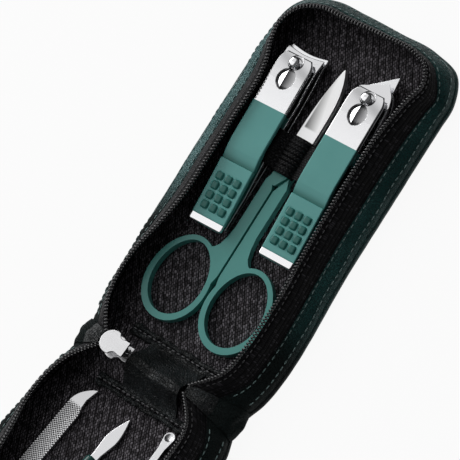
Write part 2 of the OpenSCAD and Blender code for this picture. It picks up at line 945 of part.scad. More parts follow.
module pusher_handle() {
    handle_r = 1.75;
    neck = PUSHER_BLADE - 0.2;
    color(leather_green)
        pusher_place()
            translate([0, neck + 0.25, handle_r])
                rotate([-90, 0, 0])
                    rotate_extrude()
                        polygon([
                            [0, 0], [handle_r - 0.3, 0], [handle_r, 0.8], [handle_r, pusher_len - neck - 4],
                            [handle_r - 0.5, pusher_len - neck - 1], [0, pusher_len - neck]]);
}

// Ear pick: small spoon on a flat tapering shank
module ear_pick() {
    color(steel)
        pick_place() {
            difference() {
                linear_extrude(1.1)
                    polygon(concat(
                        [for (i = [0:12]) let (a = 15 * i - 180) [1.8 * cos(a), 2.4 + 1.9 * sin(a)]],
                        [[1.1, 6.5], [1.25, pick_len - 2]],
                        [for (i = [1:5]) let (a = 30 * i) [1.25 * cos(a), pick_len - 2 + 1.25 * sin(a)]],
                        [[-1.25, pick_len - 2], [-1.1, 6.5]]));
                translate([0, 2.4, 2.6])
                    sphere(2.1);
            }
        }
}

module lid_elastic_band() {
    under = tool_z + 2 * 1.75 + 0.2;
    low = tool_z + 1.4;
    color(tape_black)
        lid_place()
            band_strip([
                [-24.4, band_foot], [-22.4, low], [-13.1, low], [-8.2, under], [-0.7, under], [9.3, low + 0.2],
                [20, low], [23, band_foot]], 62, BAND_W, BAND_T);
}

// ---- The two halves -------------------------------------------------------------------------

module base_back_leather() { base_place() half_back_leather(); }
module base_board() { base_place() half_board(); }
module base_piping() { base_place() half_piping(); }
module base_side_leather() { base_place() half_side_leather(); }
module base_lining_floor() { base_place() half_lining_floor(); }
module base_lining_band() { base_place() half_lining_band(); }
module base_zip_tape() { base_place() half_zip_tape(); }
module base_zip_teeth() { base_place() half_zip_teeth(); }
module lid_back_leather() { lid_place() half_back_leather(); }
module lid_board() { lid_place() half_board(); }
module lid_piping() { lid_place() half_piping(); }
module lid_side_leather() { lid_place() half_side_leather(); }
module lid_lining_floor() { lid_place() half_lining_floor(); }
module lid_lining_band() { lid_place() half_lining_band(); }
module lid_zip_tape() { lid_place() half_zip_tape(); }
module lid_zip_teeth() { lid_place() half_zip_teeth(); }

base_back_leather();
base_board();
base_piping();
base_side_leather();
base_lining_floor();
base_lining_band();
base_zip_tape();
base_zip_teeth();
lid_back_leather();
lid_board();
lid_piping();
lid_side_leather();
lid_lining_floor();
lid_lining_band();
lid_zip_tape();
lid_zip_teeth();
spine_leather();
spine_lining();
hinge_strap();
gusset_right();
gusset_left();
zip_chain_end();
zip_slider();
zip_pull_tab();
zip_end_tab();
straight_clipper_lower_jaw();
straight_clipper_upper_jaw();
straight_clipper_rivet();
straight_clipper_pin();
straight_clipper_lever();
oblique_clipper_lower_jaw();
oblique_clipper_upper_jaw();
oblique_clipper_rivet();
oblique_clipper_pin();
oblique_clipper_lever();
scissors_left_half();
scissors_right_half();
scissors_screw();
elastic_band();
elastic_sleeve();
nail_file();
pusher_blade();
pusher_handle();
ear_pick();
lid_elastic_band();
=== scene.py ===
import math

import bmesh
import bpy
import numpy as np
from mathutils import Matrix


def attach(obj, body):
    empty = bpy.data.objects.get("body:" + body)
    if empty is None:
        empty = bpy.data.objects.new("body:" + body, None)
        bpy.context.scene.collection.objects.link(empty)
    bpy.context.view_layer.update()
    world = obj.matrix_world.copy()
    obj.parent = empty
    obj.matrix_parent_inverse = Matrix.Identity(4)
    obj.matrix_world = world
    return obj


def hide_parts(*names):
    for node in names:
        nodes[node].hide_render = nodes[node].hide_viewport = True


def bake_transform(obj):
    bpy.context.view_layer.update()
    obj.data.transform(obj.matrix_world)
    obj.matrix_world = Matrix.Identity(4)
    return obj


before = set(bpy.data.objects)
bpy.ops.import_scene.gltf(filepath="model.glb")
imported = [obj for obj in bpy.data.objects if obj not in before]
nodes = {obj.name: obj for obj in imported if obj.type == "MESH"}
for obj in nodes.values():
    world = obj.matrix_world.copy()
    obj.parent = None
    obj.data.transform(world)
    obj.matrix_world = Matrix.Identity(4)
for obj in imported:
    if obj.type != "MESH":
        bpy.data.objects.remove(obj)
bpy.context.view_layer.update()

# ---- Camera -------------------------------------------------------------------------------------
# The photograph looks down into the open case from above its right side, with a long lens.
# Its right and up directions are given in the case's own axes.
view_right = np.array([0.7636, 0.5138, -0.3530])
view_up = np.array([-0.4589, 0.8549, 0.2938])
slip = view_right @ view_up / 2
view_right, view_up = view_right - slip * view_up, view_up - slip * view_right
view_right /= np.linalg.norm(view_right)
view_up /= np.linalg.norm(view_up)
view_back = np.cross(view_right, view_up)
look_at = np.array([-0.0089, -0.01865, 0.0])
camera_away = 1.2
seen_width = 0.1402

lens = bpy.data.cameras.new("camera")
camera = bpy.data.objects.new("camera", lens)
bpy.context.scene.collection.objects.link(camera)
camera.matrix_world = Matrix([
    [view_right[k], view_up[k], view_back[k], look_at[k] + camera_away * view_back[k]] for k in range(3)
] + [[0, 0, 0, 1]])
lens.sensor_width = 36
lens.lens = 36 * camera_away / seen_width
lens.clip_start = 0.01
bpy.context.scene.camera = camera

# ---- Table and studio light ---------------------------------------------------------------------
# White table top that keeps a faint shadow, a wide soft light over the left side, a harder lamp
# further down on the same side, and dim grey surroundings on the right.


def add(tree, kind, values=None, **settings):
    """Add a node, set its properties, and give each input a number, a colour or another node's output."""
    node = tree.nodes.new(kind)
    for key, value in settings.items():
        setattr(node, key, value)
    for key, value in (values or {}).items():
        if isinstance(value, bpy.types.NodeSocket):
            tree.links.new(value, node.inputs[key])
        else:
            node.inputs[key].default_value = value
    return node


def math_node(tree, operation, *values):
    """Output of one Math node with the values or sockets given."""
    return add(tree, "ShaderNodeMath", dict(enumerate(values)), operation=operation).outputs[0]


def new_material(name):
    """Empty node material and its tree."""
    material = bpy.data.materials.new(name)
    material.use_nodes = True
    material.node_tree.nodes.clear()
    return material, material.node_tree


table_material, tree = new_material("white_table")
ray = add(tree, "ShaderNodeLightPath")
seen = math_node(tree, "MAXIMUM", ray.outputs["Is Camera Ray"], ray.outputs["Is Glossy Ray"])
seen = math_node(tree, "MAXIMUM", seen, ray.outputs["Is Transmission Ray"])
paper = add(tree, "ShaderNodeBsdfDiffuse", {"Color": (0.9, 0.9, 0.9, 1)})
glow = add(tree, "ShaderNodeEmission", {"Color": (1, 1, 1, 1), "Strength": 1.0})
blend = add(tree, "ShaderNodeMixShader",
            {0: math_node(tree, "MULTIPLY", seen, 0.93), 1: paper.outputs[0], 2: glow.outputs[0]})
add(tree, "ShaderNodeOutputMaterial", {"Surface": blend.outputs[0]})

table_mesh = bpy.data.meshes.new("table_top")
table_corners = [(x, y, -0.0002) for x, y in ((-2, -2), (2, -2), (2, 2), (-2, 2))]
table_mesh.from_pydata(table_corners, [], [(0, 1, 2, 3)])
table_mesh.materials.append(table_material)
table_top = bpy.data.objects.new("table_top", table_mesh)
bpy.context.scene.collection.objects.link(table_top)

world = bpy.data.worlds.new("studio")
bpy.context.scene.world = world
world.use_nodes = True
world.node_tree.nodes["Background"].inputs[0].default_value = (0.97, 0.98, 1.0, 1)
world.node_tree.nodes["Background"].inputs[1].default_value = 0.10


def soft_lamp(name, direction, away, width, height, radiance):
    """Rectangular lamp that faces the case from a direction, as bright as the radiance given."""
    lamp = bpy.data.lights.new(name, "AREA")
    lamp.shape = "RECTANGLE"
    lamp.size, lamp.size_y = width, height
    lamp.energy = radiance * math.pi * width * height
    thing = bpy.data.objects.new(name, lamp)
    bpy.context.scene.collection.objects.link(thing)
    back = np.array(direction, float) / np.linalg.norm(direction)
    side = np.cross([0, 1, 0], back)
    side /= np.linalg.norm(side)
    up = np.cross(back, side)
    at = look_at + away * back
    thing.matrix_world = Matrix([[side[k], up[k], back[k], at[k]] for k in range(3)] + [[0, 0, 0, 1]])
    thing.visible_camera = False
    return thing


soft_lamp("roof_light", (-0.52, 0.10, 0.84), 1.3, 1.5, 2.4, 0.66)
soft_lamp("roof_core", (-0.46, -0.20, 0.86), 1.2, 0.8, 0.85, 0.26)
soft_lamp("left_light", (-0.86, 0.25, 0.42), 1.2, 0.5, 1.2, 4.0)
bpy.context.scene.view_settings.view_transform = "Standard"

# ---- Leather of the side walls ------------------------------------------------------------------
# Dark green grained leather, 0.8 mm thick.  It is sewn into the piping at its foot, bulges
# outwards, and is turned in and sewn over the zip tape at its top.
HINGE_Y = -67.25
ZIP_PLANE = 13.4
LID_RISE = math.radians(17)
HALVES = (("base", False, "base_half"), ("lid", True, "lid_half"))


def on_lid(points):
    """The base half's points carried over to the lid: mirrored across the hinge line, then turned
    up about it."""
    points = np.asarray(points, float)
    c, s = math.cos(LID_RISE), math.sin(LID_RISE)
    x, y, z = points[..., 0], points[..., 1], points[..., 2] - ZIP_PLANE
    return np.stack([x, z * s - y * c, ZIP_PLANE + y * s + z * c], -1)


def place(points, lid=False):
    """Millimetres from the hinge line to metres in the shared frame."""
    points = on_lid(points) if lid else np.asarray(points, float)
    return (points + [0, HINGE_Y, 0]) / 1000


def through(knots, points, t):
    """Smooth curve through points: cubic pieces whose slopes are the mean of the neighbouring
    slopes, weighted by the other side's length."""
    points = np.asarray(points, float)
    step = np.diff(knots)[:, None]
    slope = np.diff(points, axis=0) / step
    inner = (slope[:-1] * step[1:] + slope[1:] * step[:-1]) / (step[1:] + step[:-1])
    tangent = np.vstack([slope[:1], inner, slope[-1:]])
    i = np.clip(np.searchsorted(knots, t, side="right") - 1, 0, len(knots) - 2)
    h = step[i]
    u = ((t - np.asarray(knots)[i]) / h[:, 0])[:, None]
    return ((2 * u**3 - 3 * u**2 + 1) * points[i] + (u**3 - 2 * u**2 + u) * h * tangent[i]
            + (3 * u**2 - 2 * u**3) * points[i + 1] + (u**3 - u**2) * h * tangent[i + 1])


def ramp(value, low, high):
    """0 below low, 1 above high, and an S-curve between them."""
    t = np.clip((value - low) / (high - low), 0, 1)
    return t * t * (3 - 2 * t)


def ripples(u, v, seed, count, shortest, longest):
    """Sum of sine waves of random direction and length between the two lengths, scaled to about 1."""
    pick = np.random.default_rng(seed)
    total = np.zeros(np.broadcast(u, v).shape)
    for _ in range(count):
        turn, shift = pick.uniform(0, 2 * math.pi, 2)
        wave = 2 * math.pi / pick.uniform(shortest, longest)
        total = total + np.sin(wave * (u * math.cos(turn) + v * math.sin(turn)) + shift)
    return total / math.sqrt(count)


def new_piece(name, points, faces, uv=None, material=(), face_material=None, smooth=40):
    """Mesh object at the origin from points in metres and faces, turned outwards."""
    mesh = bpy.data.meshes.new(name)
    mesh.from_pydata(points.tolist(), [], faces if isinstance(faces, list) else faces.tolist())
    if uv is not None:
        corner = np.empty(len(mesh.loops), int)
        mesh.loops.foreach_get("vertex_index", corner)
        mesh.uv_layers.new(name="UVMap").data.foreach_set("uv", uv[corner].ravel())
    for m in material:
        mesh.materials.append(m)
    if face_material is not None:
        mesh.polygons.foreach_set("material_index", np.asarray(face_material, np.int32))
    work = bmesh.new()
    work.from_mesh(mesh)
    bmesh.ops.recalc_face_normals(work, faces=work.faces)
    work.to_mesh(mesh)
    work.free()
    mesh.shade_smooth()
    mesh.set_sharp_from_angle(angle=math.radians(smooth))
    piece = bpy.data.objects.new(name, mesh)
    bpy.context.scene.collection.objects.link(piece)
    return piece


def quads(index):
    """Quads between neighbouring rows and columns of a table of point numbers."""
    return np.stack([index[:-1, :-1], index[1:, :-1], index[1:, 1:], index[:-1, 1:]], -1).reshape(-1, 4)


def lengths(grid, axis):
    """Distance travelled along one axis of a grid of points, measured on its middle line."""
    middle = grid[:, grid.shape[1] // 2] if axis == 0 else grid[grid.shape[0] // 2]
    step = np.linalg.norm(np.diff(middle, axis=0), axis=1)
    return np.concatenate([[0], np.cumsum(step)])


def between(name, top, bottom, material, lid=False, face_rows=None, smooth=40):
    """Closed body between two grids of the same size: both skins and the four rims."""
    rows, cols = top.shape[:2]
    count = rows * cols
    index = np.arange(count).reshape(rows, cols)
    edge = np.concatenate([index[0], index[1:, -1], index[-1, -2::-1], index[-2:0:-1, 0]])
    rim = np.stack([edge, np.roll(edge, -1), np.roll(edge, -1) + count, edge + count], -1)
    faces = np.concatenate([quads(index), quads(index)[:, ::-1] + count, rim])
    u, v = np.meshgrid(lengths(top, 0) / 1000, lengths(top, 1) / 1000, indexing="ij")
    uv = np.tile(np.stack([u, v], -1).reshape(-1, 2), (2, 1))
    points = place(np.concatenate([top.reshape(-1, 3), bottom.reshape(-1, 3)]), lid)
    kinds = None
    if face_rows is not None:
        kinds = face_rows[np.minimum(faces.min(axis=1) % count // cols, rows - 2)]
    return new_piece(name, points, faces, uv, material, kinds, smooth)


def skin(name, grid, thick, material, lid=False, smooth=40):
    """Sheet of even thickness: the grid, and a copy of it moved along its normals."""
    grid = np.asarray(grid, float)
    normal = np.cross(np.gradient(grid, axis=0), np.gradient(grid, axis=1))
    normal /= np.linalg.norm(normal, axis=-1, keepdims=True) + 1e-12
    return between(name, grid, grid - thick * normal, material, lid, smooth=smooth)


def mix(tree, share, first, second):
    """Colour between two colours: the first at share 0, the second at share 1."""
    return add(tree, "ShaderNodeMix", {0: share, 6: first, 7: second}, data_type="RGBA").outputs[2]


def toned(colour, share):
    """A colour made darker or lighter by a factor."""
    return tuple(share * k for k in colour[:3]) + (1,)


def spread(tree, value, low, high, first=0.0, last=1.0, **settings):
    """Number that goes from first to last as the value goes from low to high."""
    return add(tree, "ShaderNodeMapRange", {"Value": value, "From Min": low, "From Max": high,
                                            "To Min": first, "To Max": last}, **settings).outputs[0]


def object_place(tree):
    """Place of the shaded point in its object's own axes."""
    return add(tree, "ShaderNodeTexCoord").outputs["Object"]


def noise(tree, at, scale, detail=3.0):
    """Value of a noise pattern."""
    return add(tree, "ShaderNodeTexNoise", {"Vector": at, "Scale": scale, "Detail": detail}).outputs["Fac"]


def relief(tree, height, distance):
    """Normal bent by a height, whose full depth is given in metres."""
    return add(tree, "ShaderNodeBump", {"Height": height, "Distance": distance}).outputs[0]


def surface(tree, values):
    """Principled surface with the values or sockets given, put out as the material."""
    shader = add(tree, "ShaderNodeBsdfPrincipled", values)
    add(tree, "ShaderNodeOutputMaterial", {"Surface": shader.outputs[0]})


def new_group(name, inputs, outputs):
    """Empty node group and its input node; Vector is a vector, and every other socket a number."""
    group = bpy.data.node_groups.new(name, "ShaderNodeTree")
    for way, labels in (("INPUT", inputs), ("OUTPUT", outputs)):
        for label in labels:
            kind = "NodeSocketVector" if label == "Vector" else "NodeSocketFloat"
            group.interface.new_socket(label, in_out=way, socket_type=kind)
    return group, add(group, "NodeGroupInput")


def grain_group():
    """Leather grain: pebbles from a cell pattern bent by noise, with fine pores and slow creases, and a mask
    of sparse specks where glints are painted.
    """
    group, start = new_group("leather_grain", ("Vector", "Pebble"), ("Height", "Valley", "Patch", "Glint"))
    at, pebble = start.outputs["Vector"], start.outputs["Pebble"]
    per = math_node(group, "DIVIDE", 1.0, pebble)
    bend = add(group, "ShaderNodeTexNoise", {"Vector": at, "Detail": 2.0,
                                             "Scale": math_node(group, "MULTIPLY", per, 0.6)})
    shift = add(group, "ShaderNodeVectorMath", {0: bend.outputs["Color"], 1: (0.5, 0.5, 0.5)},
                operation="SUBTRACT")
    shift = add(group, "ShaderNodeVectorMath", {0: shift.outputs[0], "Scale": pebble}, operation="SCALE")
    bent = add(group, "ShaderNodeVectorMath", {0: at, 1: shift.outputs[0]}, operation="ADD").outputs[0]
    cell = add(group, "ShaderNodeTexVoronoi", {"Vector": bent, "Scale": per}, feature="DISTANCE_TO_EDGE")
    tone = add(group, "ShaderNodeTexVoronoi", {"Vector": bent, "Scale": per}, feature="F1")
    valley = spread(group, cell.outputs["Distance"], 0.0, 0.16, 1.0, 0.0, interpolation_type="SMOOTHSTEP")
    high = math_node(group, "SUBTRACT", 1.0, valley)
    lift = math_node(group, "MULTIPLY_ADD", tone.outputs["Color"], 0.7, high)
    pore = noise(group, at, math_node(group, "MULTIPLY", per, 3.0))
    lift = math_node(group, "MULTIPLY_ADD", pore, 0.5, lift)
    fine = add(group, "ShaderNodeTexVoronoi", {"Vector": at, "Scale": math_node(group, "MULTIPLY", per, 2.2)},
               feature="F1")
    rare = spread(group, fine.outputs["Color"], 0.60, 0.72)
    near = spread(group, fine.outputs["Distance"], 0.45, 0.2)
    add(group, "NodeGroupOutput", {"Height": lift, "Valley": valley, "Patch": noise(group, at, 90.0),
                                   "Glint": math_node(group, "MULTIPLY", rare, near)})
    return group


leather_grain = grain_group()


def leather(name, base, wear_and_glint, pebble, rough, depth=0.00018, spot=0.5, glint=0.5, shine=0.3, blackened=False):
    """Grained leather: darker in the valleys, worn paler in slow patches, glossier on the pebbles,
    with painted glints: fine pale specks on the grain.  Blackened leather turns black and duller
    towards the hinge, sooner on the left side than on the right, and carries a painted highlight on the upper
    left wall."""
    material, tree = new_material(name)
    at = object_place(tree)
    grain = add(tree, "ShaderNodeGroup", {"Vector": at, "Pebble": pebble}, node_tree=leather_grain)
    valley = grain.outputs["Valley"]
    patch = spread(tree, grain.outputs["Patch"], 0.4, 0.68, last=spot)
    tone = mix(tree, patch, base, wear_and_glint)
    dark = mix(tree, math_node(tree, "MULTIPLY", valley, 0.7), tone, toned(base, 0.25))
    # Painted glints: fine pale specks on the grain, stronger in the paler patches, in the wear colour made
    # lighter.
    glint_specks = math_node(tree, "MULTIPLY_ADD", patch, 0.8, 0.2)
    glint_specks = math_node(tree, "MULTIPLY", grain.outputs["Glint"], glint_specks)
    dark = mix(tree, math_node(tree, "MULTIPLY", glint_specks, glint), dark, toned(wear_and_glint, 3.2))
    gloss = math_node(tree, "MULTIPLY_ADD", valley, 0.3, rough)
    if blackened:
        part = add(tree, "ShaderNodeSeparateXYZ", {0: at})
        along = math_node(tree, "MULTIPLY_ADD", part.outputs[0], 0.3, part.outputs[1])
        green = spread(tree, along, -0.036, -0.018)
        # Painted highlight: the upper part of the left wall is mixed towards pale teal, as if lit from the
        # left, less so in the grain's valleys.
        left = spread(tree, part.outputs[0], -0.022, -0.027)
        upper = spread(tree, part.outputs[2], 0.0035, 0.0055)
        painted_left_light = math_node(tree, "MULTIPLY", left, math_node(tree, "MULTIPLY_ADD", upper, 0.75, 0.25))
        painted_left_light = math_node(tree, "MULTIPLY", painted_left_light, math_node(tree, "MULTIPLY_ADD", valley, -0.7, 0.85))
        # Near the hinge the colour goes almost black, sooner on the left.
        hinge_black = mix(tree, 0.10, (0.0, 0.0, 0.0, 1), dark)
        dark = mix(tree, green, hinge_black, mix(tree, painted_left_light, dark, (0.12, 0.235, 0.235, 1)))
        gloss = math_node(tree, "ADD", gloss, math_node(tree, "MULTIPLY_ADD", green, -0.3, 0.3))
    surface(tree, {"Base Color": dark, "Roughness": gloss, "Specular IOR Level": shine,
                   "Normal": relief(tree, grain.outputs["Height"], depth)})
    return material


outer_leather = leather("green_leather", (0.0035, 0.038, 0.036, 1), (0.03, 0.11, 0.106, 1), 0.0007, 0.38,
                        0.00012, shine=0.18, blackened=True)

# Plan of the zip and of the piping, from the left end at the hinge round to the right end, in mm
coil_plan = np.array([
    (-19.6, 1.6), (-21.8, 4.5), (-25.2, 10), (-27.2, 18), (-26.9, 28), (-24.6, 38), (-22.9, 47),
    (-22.3, 65), (-22.2, 75), (-22.9, 98), (-25.4, 105), (-26.2, 110), (-23.6, 116.5), (-16.5, 120.5),
    (-7.7, 121), (6.7, 122), (18, 122), (24.5, 119.5), (27, 114), (25.4, 108), (23.7, 99), (22.6, 75),
    (23.4, 48), (23.9, 40), (23.8, 30), (23.3, 20), (21.5, 10), (13.5, 1)])
foot_plan = np.array([
    (-30.2, 3.0), (-30.7, 5.5), (-31.6, 11), (-32.3, 19), (-32.6, 29), (-32.8, 38.5), (-32.7, 47),
    (-32.8, 65), (-32.7, 75), (-32.4, 98), (-32.2, 105.5), (-31.2, 113), (-26.8, 121.2), (-18, 125.0),
    (-7.7, 125.5), (6.7, 125.5), (20, 125.3), (29.4, 122.3), (33.2, 114.5), (33.3, 107), (33.2, 99),
    (33.0, 75), (33.0, 48), (33.4, 40), (33.8, 30), (33.7, 20), (32.5, 10), (30.0, 3.0)])
knots = np.concatenate([[0], np.cumsum(np.linalg.norm(np.diff(coil_plan, axis=0), axis=1))])
stations = np.linspace(0, knots[-1], 680)
coil_line = through(knots, coil_plan, stations)
foot_line = through(knots, foot_plan, stations)
far_part = ramp(coil_line[:, 1], 112, 120)
near_part = 1 - ramp(stations, 2, 22) * ramp(knots[-1] - stations, 2, 22)
out_way = foot_line - coil_line
out_way /= np.linalg.norm(out_way, axis=1, keepdims=True)
SEAM_SHARE = 0.50


def wall_point(share, out, z):
    """Point of every station: a share of the way from foot to coil, moved out, at height z."""
    share, out = np.reshape(share, (-1, 1)), np.reshape(out, (-1, 1))
    plan = foot_line + (coil_line - foot_line) * share + out_way * out
    return np.column_stack([plan, np.broadcast_to(z, len(plan))])


foot = wall_point(0, 0.1, 2.4)
left_part = 1 - ramp(coil_line[:, 0], -20, -12)
bulge = wall_point(0, 0.5 + 0.3 * far_part + 0.7 * near_part - 1.1 * left_part,
                   7.0 - 0.8 * far_part + 0.8 * near_part - 0.8 * left_part)
seam = wall_point(SEAM_SHARE + 0.22 * far_part, 0, 7.1 + 2.9 * far_part + 2.0 * near_part)
t = np.linspace(0, 1, 20)[None, :, None]
side_grid = (1 - t) ** 2 * foot[:, None] + 2 * t * (1 - t) * bulge[:, None] + t**2 * seam[:, None]
run = stations[:, None] * np.ones((1, 20))
rise = np.linspace(0, 8, 20)[None] * np.ones((len(stations), 1))
wave = 0.16 * ripples(run, rise * 0.6, 3, 9, 6, 26)
wave += 0.22 * near_part[:, None] * ripples(run, rise, 4, 8, 3, 9)
wave *= np.sin(np.linspace(0.05, 0.98, 20) * math.pi)[None]
side_grid[..., :2] += wave[..., None] * out_way[:, None]
side_grid[..., 2] += 0.4 * wave

for half, lid, body in HALVES:
    wall = skin(half + "_wall_leather", side_grid, -0.8, [outer_leather], lid)
    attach(wall, body)
    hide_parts(half + "_side_leather")

# ---- Stitching ----------------------------------------------------------------------------------
# Two rows of thread run round each wall: one holds the leather over the zip tape, one closes the
# turning 2.5 mm above the piping.  Each stitch is a short lens-shaped bead of thread.


def beads(name, centres, along, up, size, material, lid=False, sides=6):
    """Small closed beads: rings of a capsule scaled by size (half length, half width, half height)
    and set along the given directions."""
    tail = np.linspace(-1, 1, 5)
    fat = np.sqrt(np.clip(1 - tail**4, 0, 1)) * 0.92 + 0.08
    fat[[0, -1]] = 0.25
    turn = np.arange(sides) * 2 * math.pi / sides
    local = np.stack([np.repeat(tail, sides), np.tile(np.cos(turn), 5) * np.repeat(fat, sides),
                      np.tile(np.sin(turn), 5) * np.repeat(fat, sides)], -1) * size
    side = np.cross(up, along)
    side /= np.linalg.norm(side, axis=1, keepdims=True)
    top = np.cross(along, side)
    points = (centres[:, None] + local[None, :, :1] * along[:, None] + local[None, :, 1:2] * side[:, None]
              + local[None, :, 2:] * top[:, None])
    index = np.arange(5 * sides).reshape(5, sides)
    index = np.hstack([index, index[:, :1]])
    body = quads(index)
    one = body.tolist() + [list(range(sides))[::-1], list(range(4 * sides, 5 * sides))]
    faces = [[k + n * 5 * sides for k in f] for n in range(len(centres)) for f in one]
    return new_piece(name, place(points.reshape(-1, 3), lid), faces, None, [material], None, 60)


def along_line(line, pitch, trim=0.0):
    """Evenly spaced places on a line, and its direction there."""
    step = np.linalg.norm(np.diff(line, axis=0), axis=1)
    way = np.concatenate([[0], np.cumsum(step)])
    stop = np.arange(trim, way[-1] - trim, pitch)
    spot = np.column_stack([np.interp(stop, way, line[:, k]) for k in range(3)])
    ahead = np.column_stack([np.interp(stop + 0.3, way, line[:, k]) for k in range(3)])
    behind = np.column_stack([np.interp(stop - 0.3, way, line[:, k]) for k in range(3)])
    return spot, (ahead - behind) / np.linalg.norm(ahead - behind, axis=1, keepdims=True)


def thread_material(name, base):
    """Twisted sewing thread: fine slanting bands of light and dark."""
    material, tree = new_material(name)
    twist = add(tree, "ShaderNodeTexWave", {"Vector": object_place(tree), "Scale": 900.0, "Distortion": 2.0},
                bands_direction="DIAGONAL").outputs["Fac"]
    surface(tree, {"Base Color": mix(tree, twist, toned(base, 0.35), base), "Roughness": 0.45,
                   "Normal": relief(tree, twist, 0.00008)})
    return material


green_thread = thread_material("green_thread", (0.22, 0.34, 0.33, 1))
black_thread = thread_material("black_thread", (0.06, 0.06, 0.066, 1))
grey_thread = thread_material("grey_thread", (0.20, 0.20, 0.21, 1))

for half, lid, body in HALVES:
    for row, column in (("upper", 17), ("lower", 8)):
        line = side_grid[:, column]
        normal = np.cross(np.gradient(side_grid, axis=0), np.gradient(side_grid, axis=1))[:, column]
        normal /= np.linalg.norm(normal, axis=1, keepdims=True)
        normal *= np.sign((normal[:, :2] * out_way).sum(1) + normal[:, 2])[:, None]
        spot, way = along_line(line + 0.10 * normal, 2.3, 4)
        nearest = np.abs(line[None, ::4] - spot[:, None]).sum(-1).argmin(1) * 4
        stitch = beads(f"{half}_{row}_stitches", spot, way, normal[nearest], (0.80, 0.20, 0.20),
                       green_thread, lid)
        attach(stitch, body)

# ---- Piping -------------------------------------------------------------------------------------
# A cord wrapped in the same green leather, sewn in between the back panel and the side wall.


def tube(name, path, aim, wide, high, sides, material, lid=False, smooth=60):
    """Closed tube: an ellipse carried along a path, its wide axis held towards the aim vectors."""
    way = np.gradient(path, axis=0)
    way /= np.linalg.norm(way, axis=1, keepdims=True)
    up = np.cross(way, aim)
    up /= np.linalg.norm(up, axis=1, keepdims=True)
    side = np.cross(up, way)
    turn = np.arange(sides) * 2 * math.pi / sides
    wide = np.reshape(np.broadcast_to(wide, len(path)), (-1, 1, 1))
    high = np.reshape(np.broadcast_to(high, len(path)), (-1, 1, 1))
    ring = (path[:, None] + wide * np.cos(turn)[None, :, None] * side[:, None]
            + high * np.sin(turn)[None, :, None] * up[:, None])
    index = np.arange(len(path) * sides).reshape(-1, sides)
    last = len(path) * sides
    faces = quads(np.hstack([index, index[:, :1]])).tolist()
    faces += [[last, index[0, (k + 1) % sides], index[0, k]] for k in range(sides)]
    faces += [[last + 1, index[-1, k], index[-1, (k + 1) % sides]] for k in range(sides)]
    faces = [[int(k) for k in f] for f in faces]
    way_along = np.concatenate([[0], np.cumsum(np.linalg.norm(np.diff(path, axis=0), axis=1))])
    u = np.repeat(way_along / 1000, sides)
    v = np.tile(turn / 1000, len(path))
    uv = np.vstack([np.column_stack([u, v]), [[0, 0], [u[-1], 0]]])
    points = np.vstack([ring.reshape(-1, 3), path[:1], path[-1:]])
    return new_piece(name, place(points, lid), faces, uv, material, None, smooth)


piping_leather = leather("piping_leather", (0.006, 0.046, 0.043, 1), (0.05, 0.14, 0.134, 1), 0.0007, 0.26,
                         0.00008, shine=0.5, blackened=True)
piping_path = np.column_stack([foot_line - 0.05 * out_way, np.full(len(foot_line), 1.75)])
piping_path[:, 2] += 0.06 * ripples(stations, 0 * stations, 8, 6, 5, 14)
out_3d = np.column_stack([out_way, np.zeros(len(out_way))])
for half, lid, body in HALVES:
    cord = tube(half + "_piping_cord", piping_path, out_3d, 0.92, 0.9, 14, [piping_leather], lid)
    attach(cord, body)
    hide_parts(half + "_piping")

# ---- Back panels --------------------------------------------------------------------------------
# Green leather drawn tight over a grey board; the edge rolls down a little into the piping seam.
PANEL_W, PANEL_FAR, PANEL_R = 33.0, 125.6, 14.1


def panel_grid(inset, z, rows=120, cols=70, crown=0.0, roll=0.0):
    """Back panel outline as a grid: rows run along the case, and each row spans the outline's
    width there, which narrows at the hinge end and round the far corners."""
    far, radius = PANEL_FAR - inset, PANEL_R - inset
    s = np.linspace(0, 1, rows)
    y = 8 + (far - 8) * (1 - (1 - s) ** 1.7)
    width = PANEL_W - inset - 1.8 * (1 - np.clip((y - 8) / 23, 0, 1)) ** 2
    depth = np.clip(y - (far - radius), 0, radius)
    width = width - radius + np.sqrt(np.maximum(radius**2 - depth**2, 0))
    across = np.sin(np.linspace(-1, 1, cols) * math.pi / 2)
    x = width[:, None] * across[None]
    y = y[:, None] * np.ones((1, cols))
    edge = np.minimum(width[:, None] - np.abs(x), far - y)
    height = z + crown * ramp(edge, 0, 12) - roll * (1 - ramp(edge, 0, 1.5))
    return np.stack([x, y, height], -1)


for half, lid, body in HALVES:
    top = panel_grid(0, 0.8)
    bottom = panel_grid(0, 0.0, roll=-0.25)
    bottom[..., 2] += 0.03 * ripples(bottom[..., 0], bottom[..., 1], 5, 7, 9, 30)
    bottom[..., 2] = np.maximum(bottom[..., 2], 0.0)
    back = between(half + "_back_panel", top, bottom, [outer_leather], lid)
    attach(back, body)
    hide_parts(half + "_back_leather")

board_material, tree = new_material("grey_board")
fibre = noise(tree, object_place(tree), 700.0, 5.0)
surface(tree, {"Base Color": mix(tree, fibre, (0.13, 0.12, 0.10, 1), (0.30, 0.28, 0.24, 1)),
               "Roughness": 0.85, "Normal": relief(tree, fibre, 0.0001)})
for half, lid, body in HALVES:
    board = nodes[half + "_board"]
    board.data.materials.clear()
    board.data.materials.append(board_material)

# ---- Zip tape -----------------------------------------------------------------------------------
# Black woven tape, 0.5 mm thick, from under the leather's turned edge up to the coil.


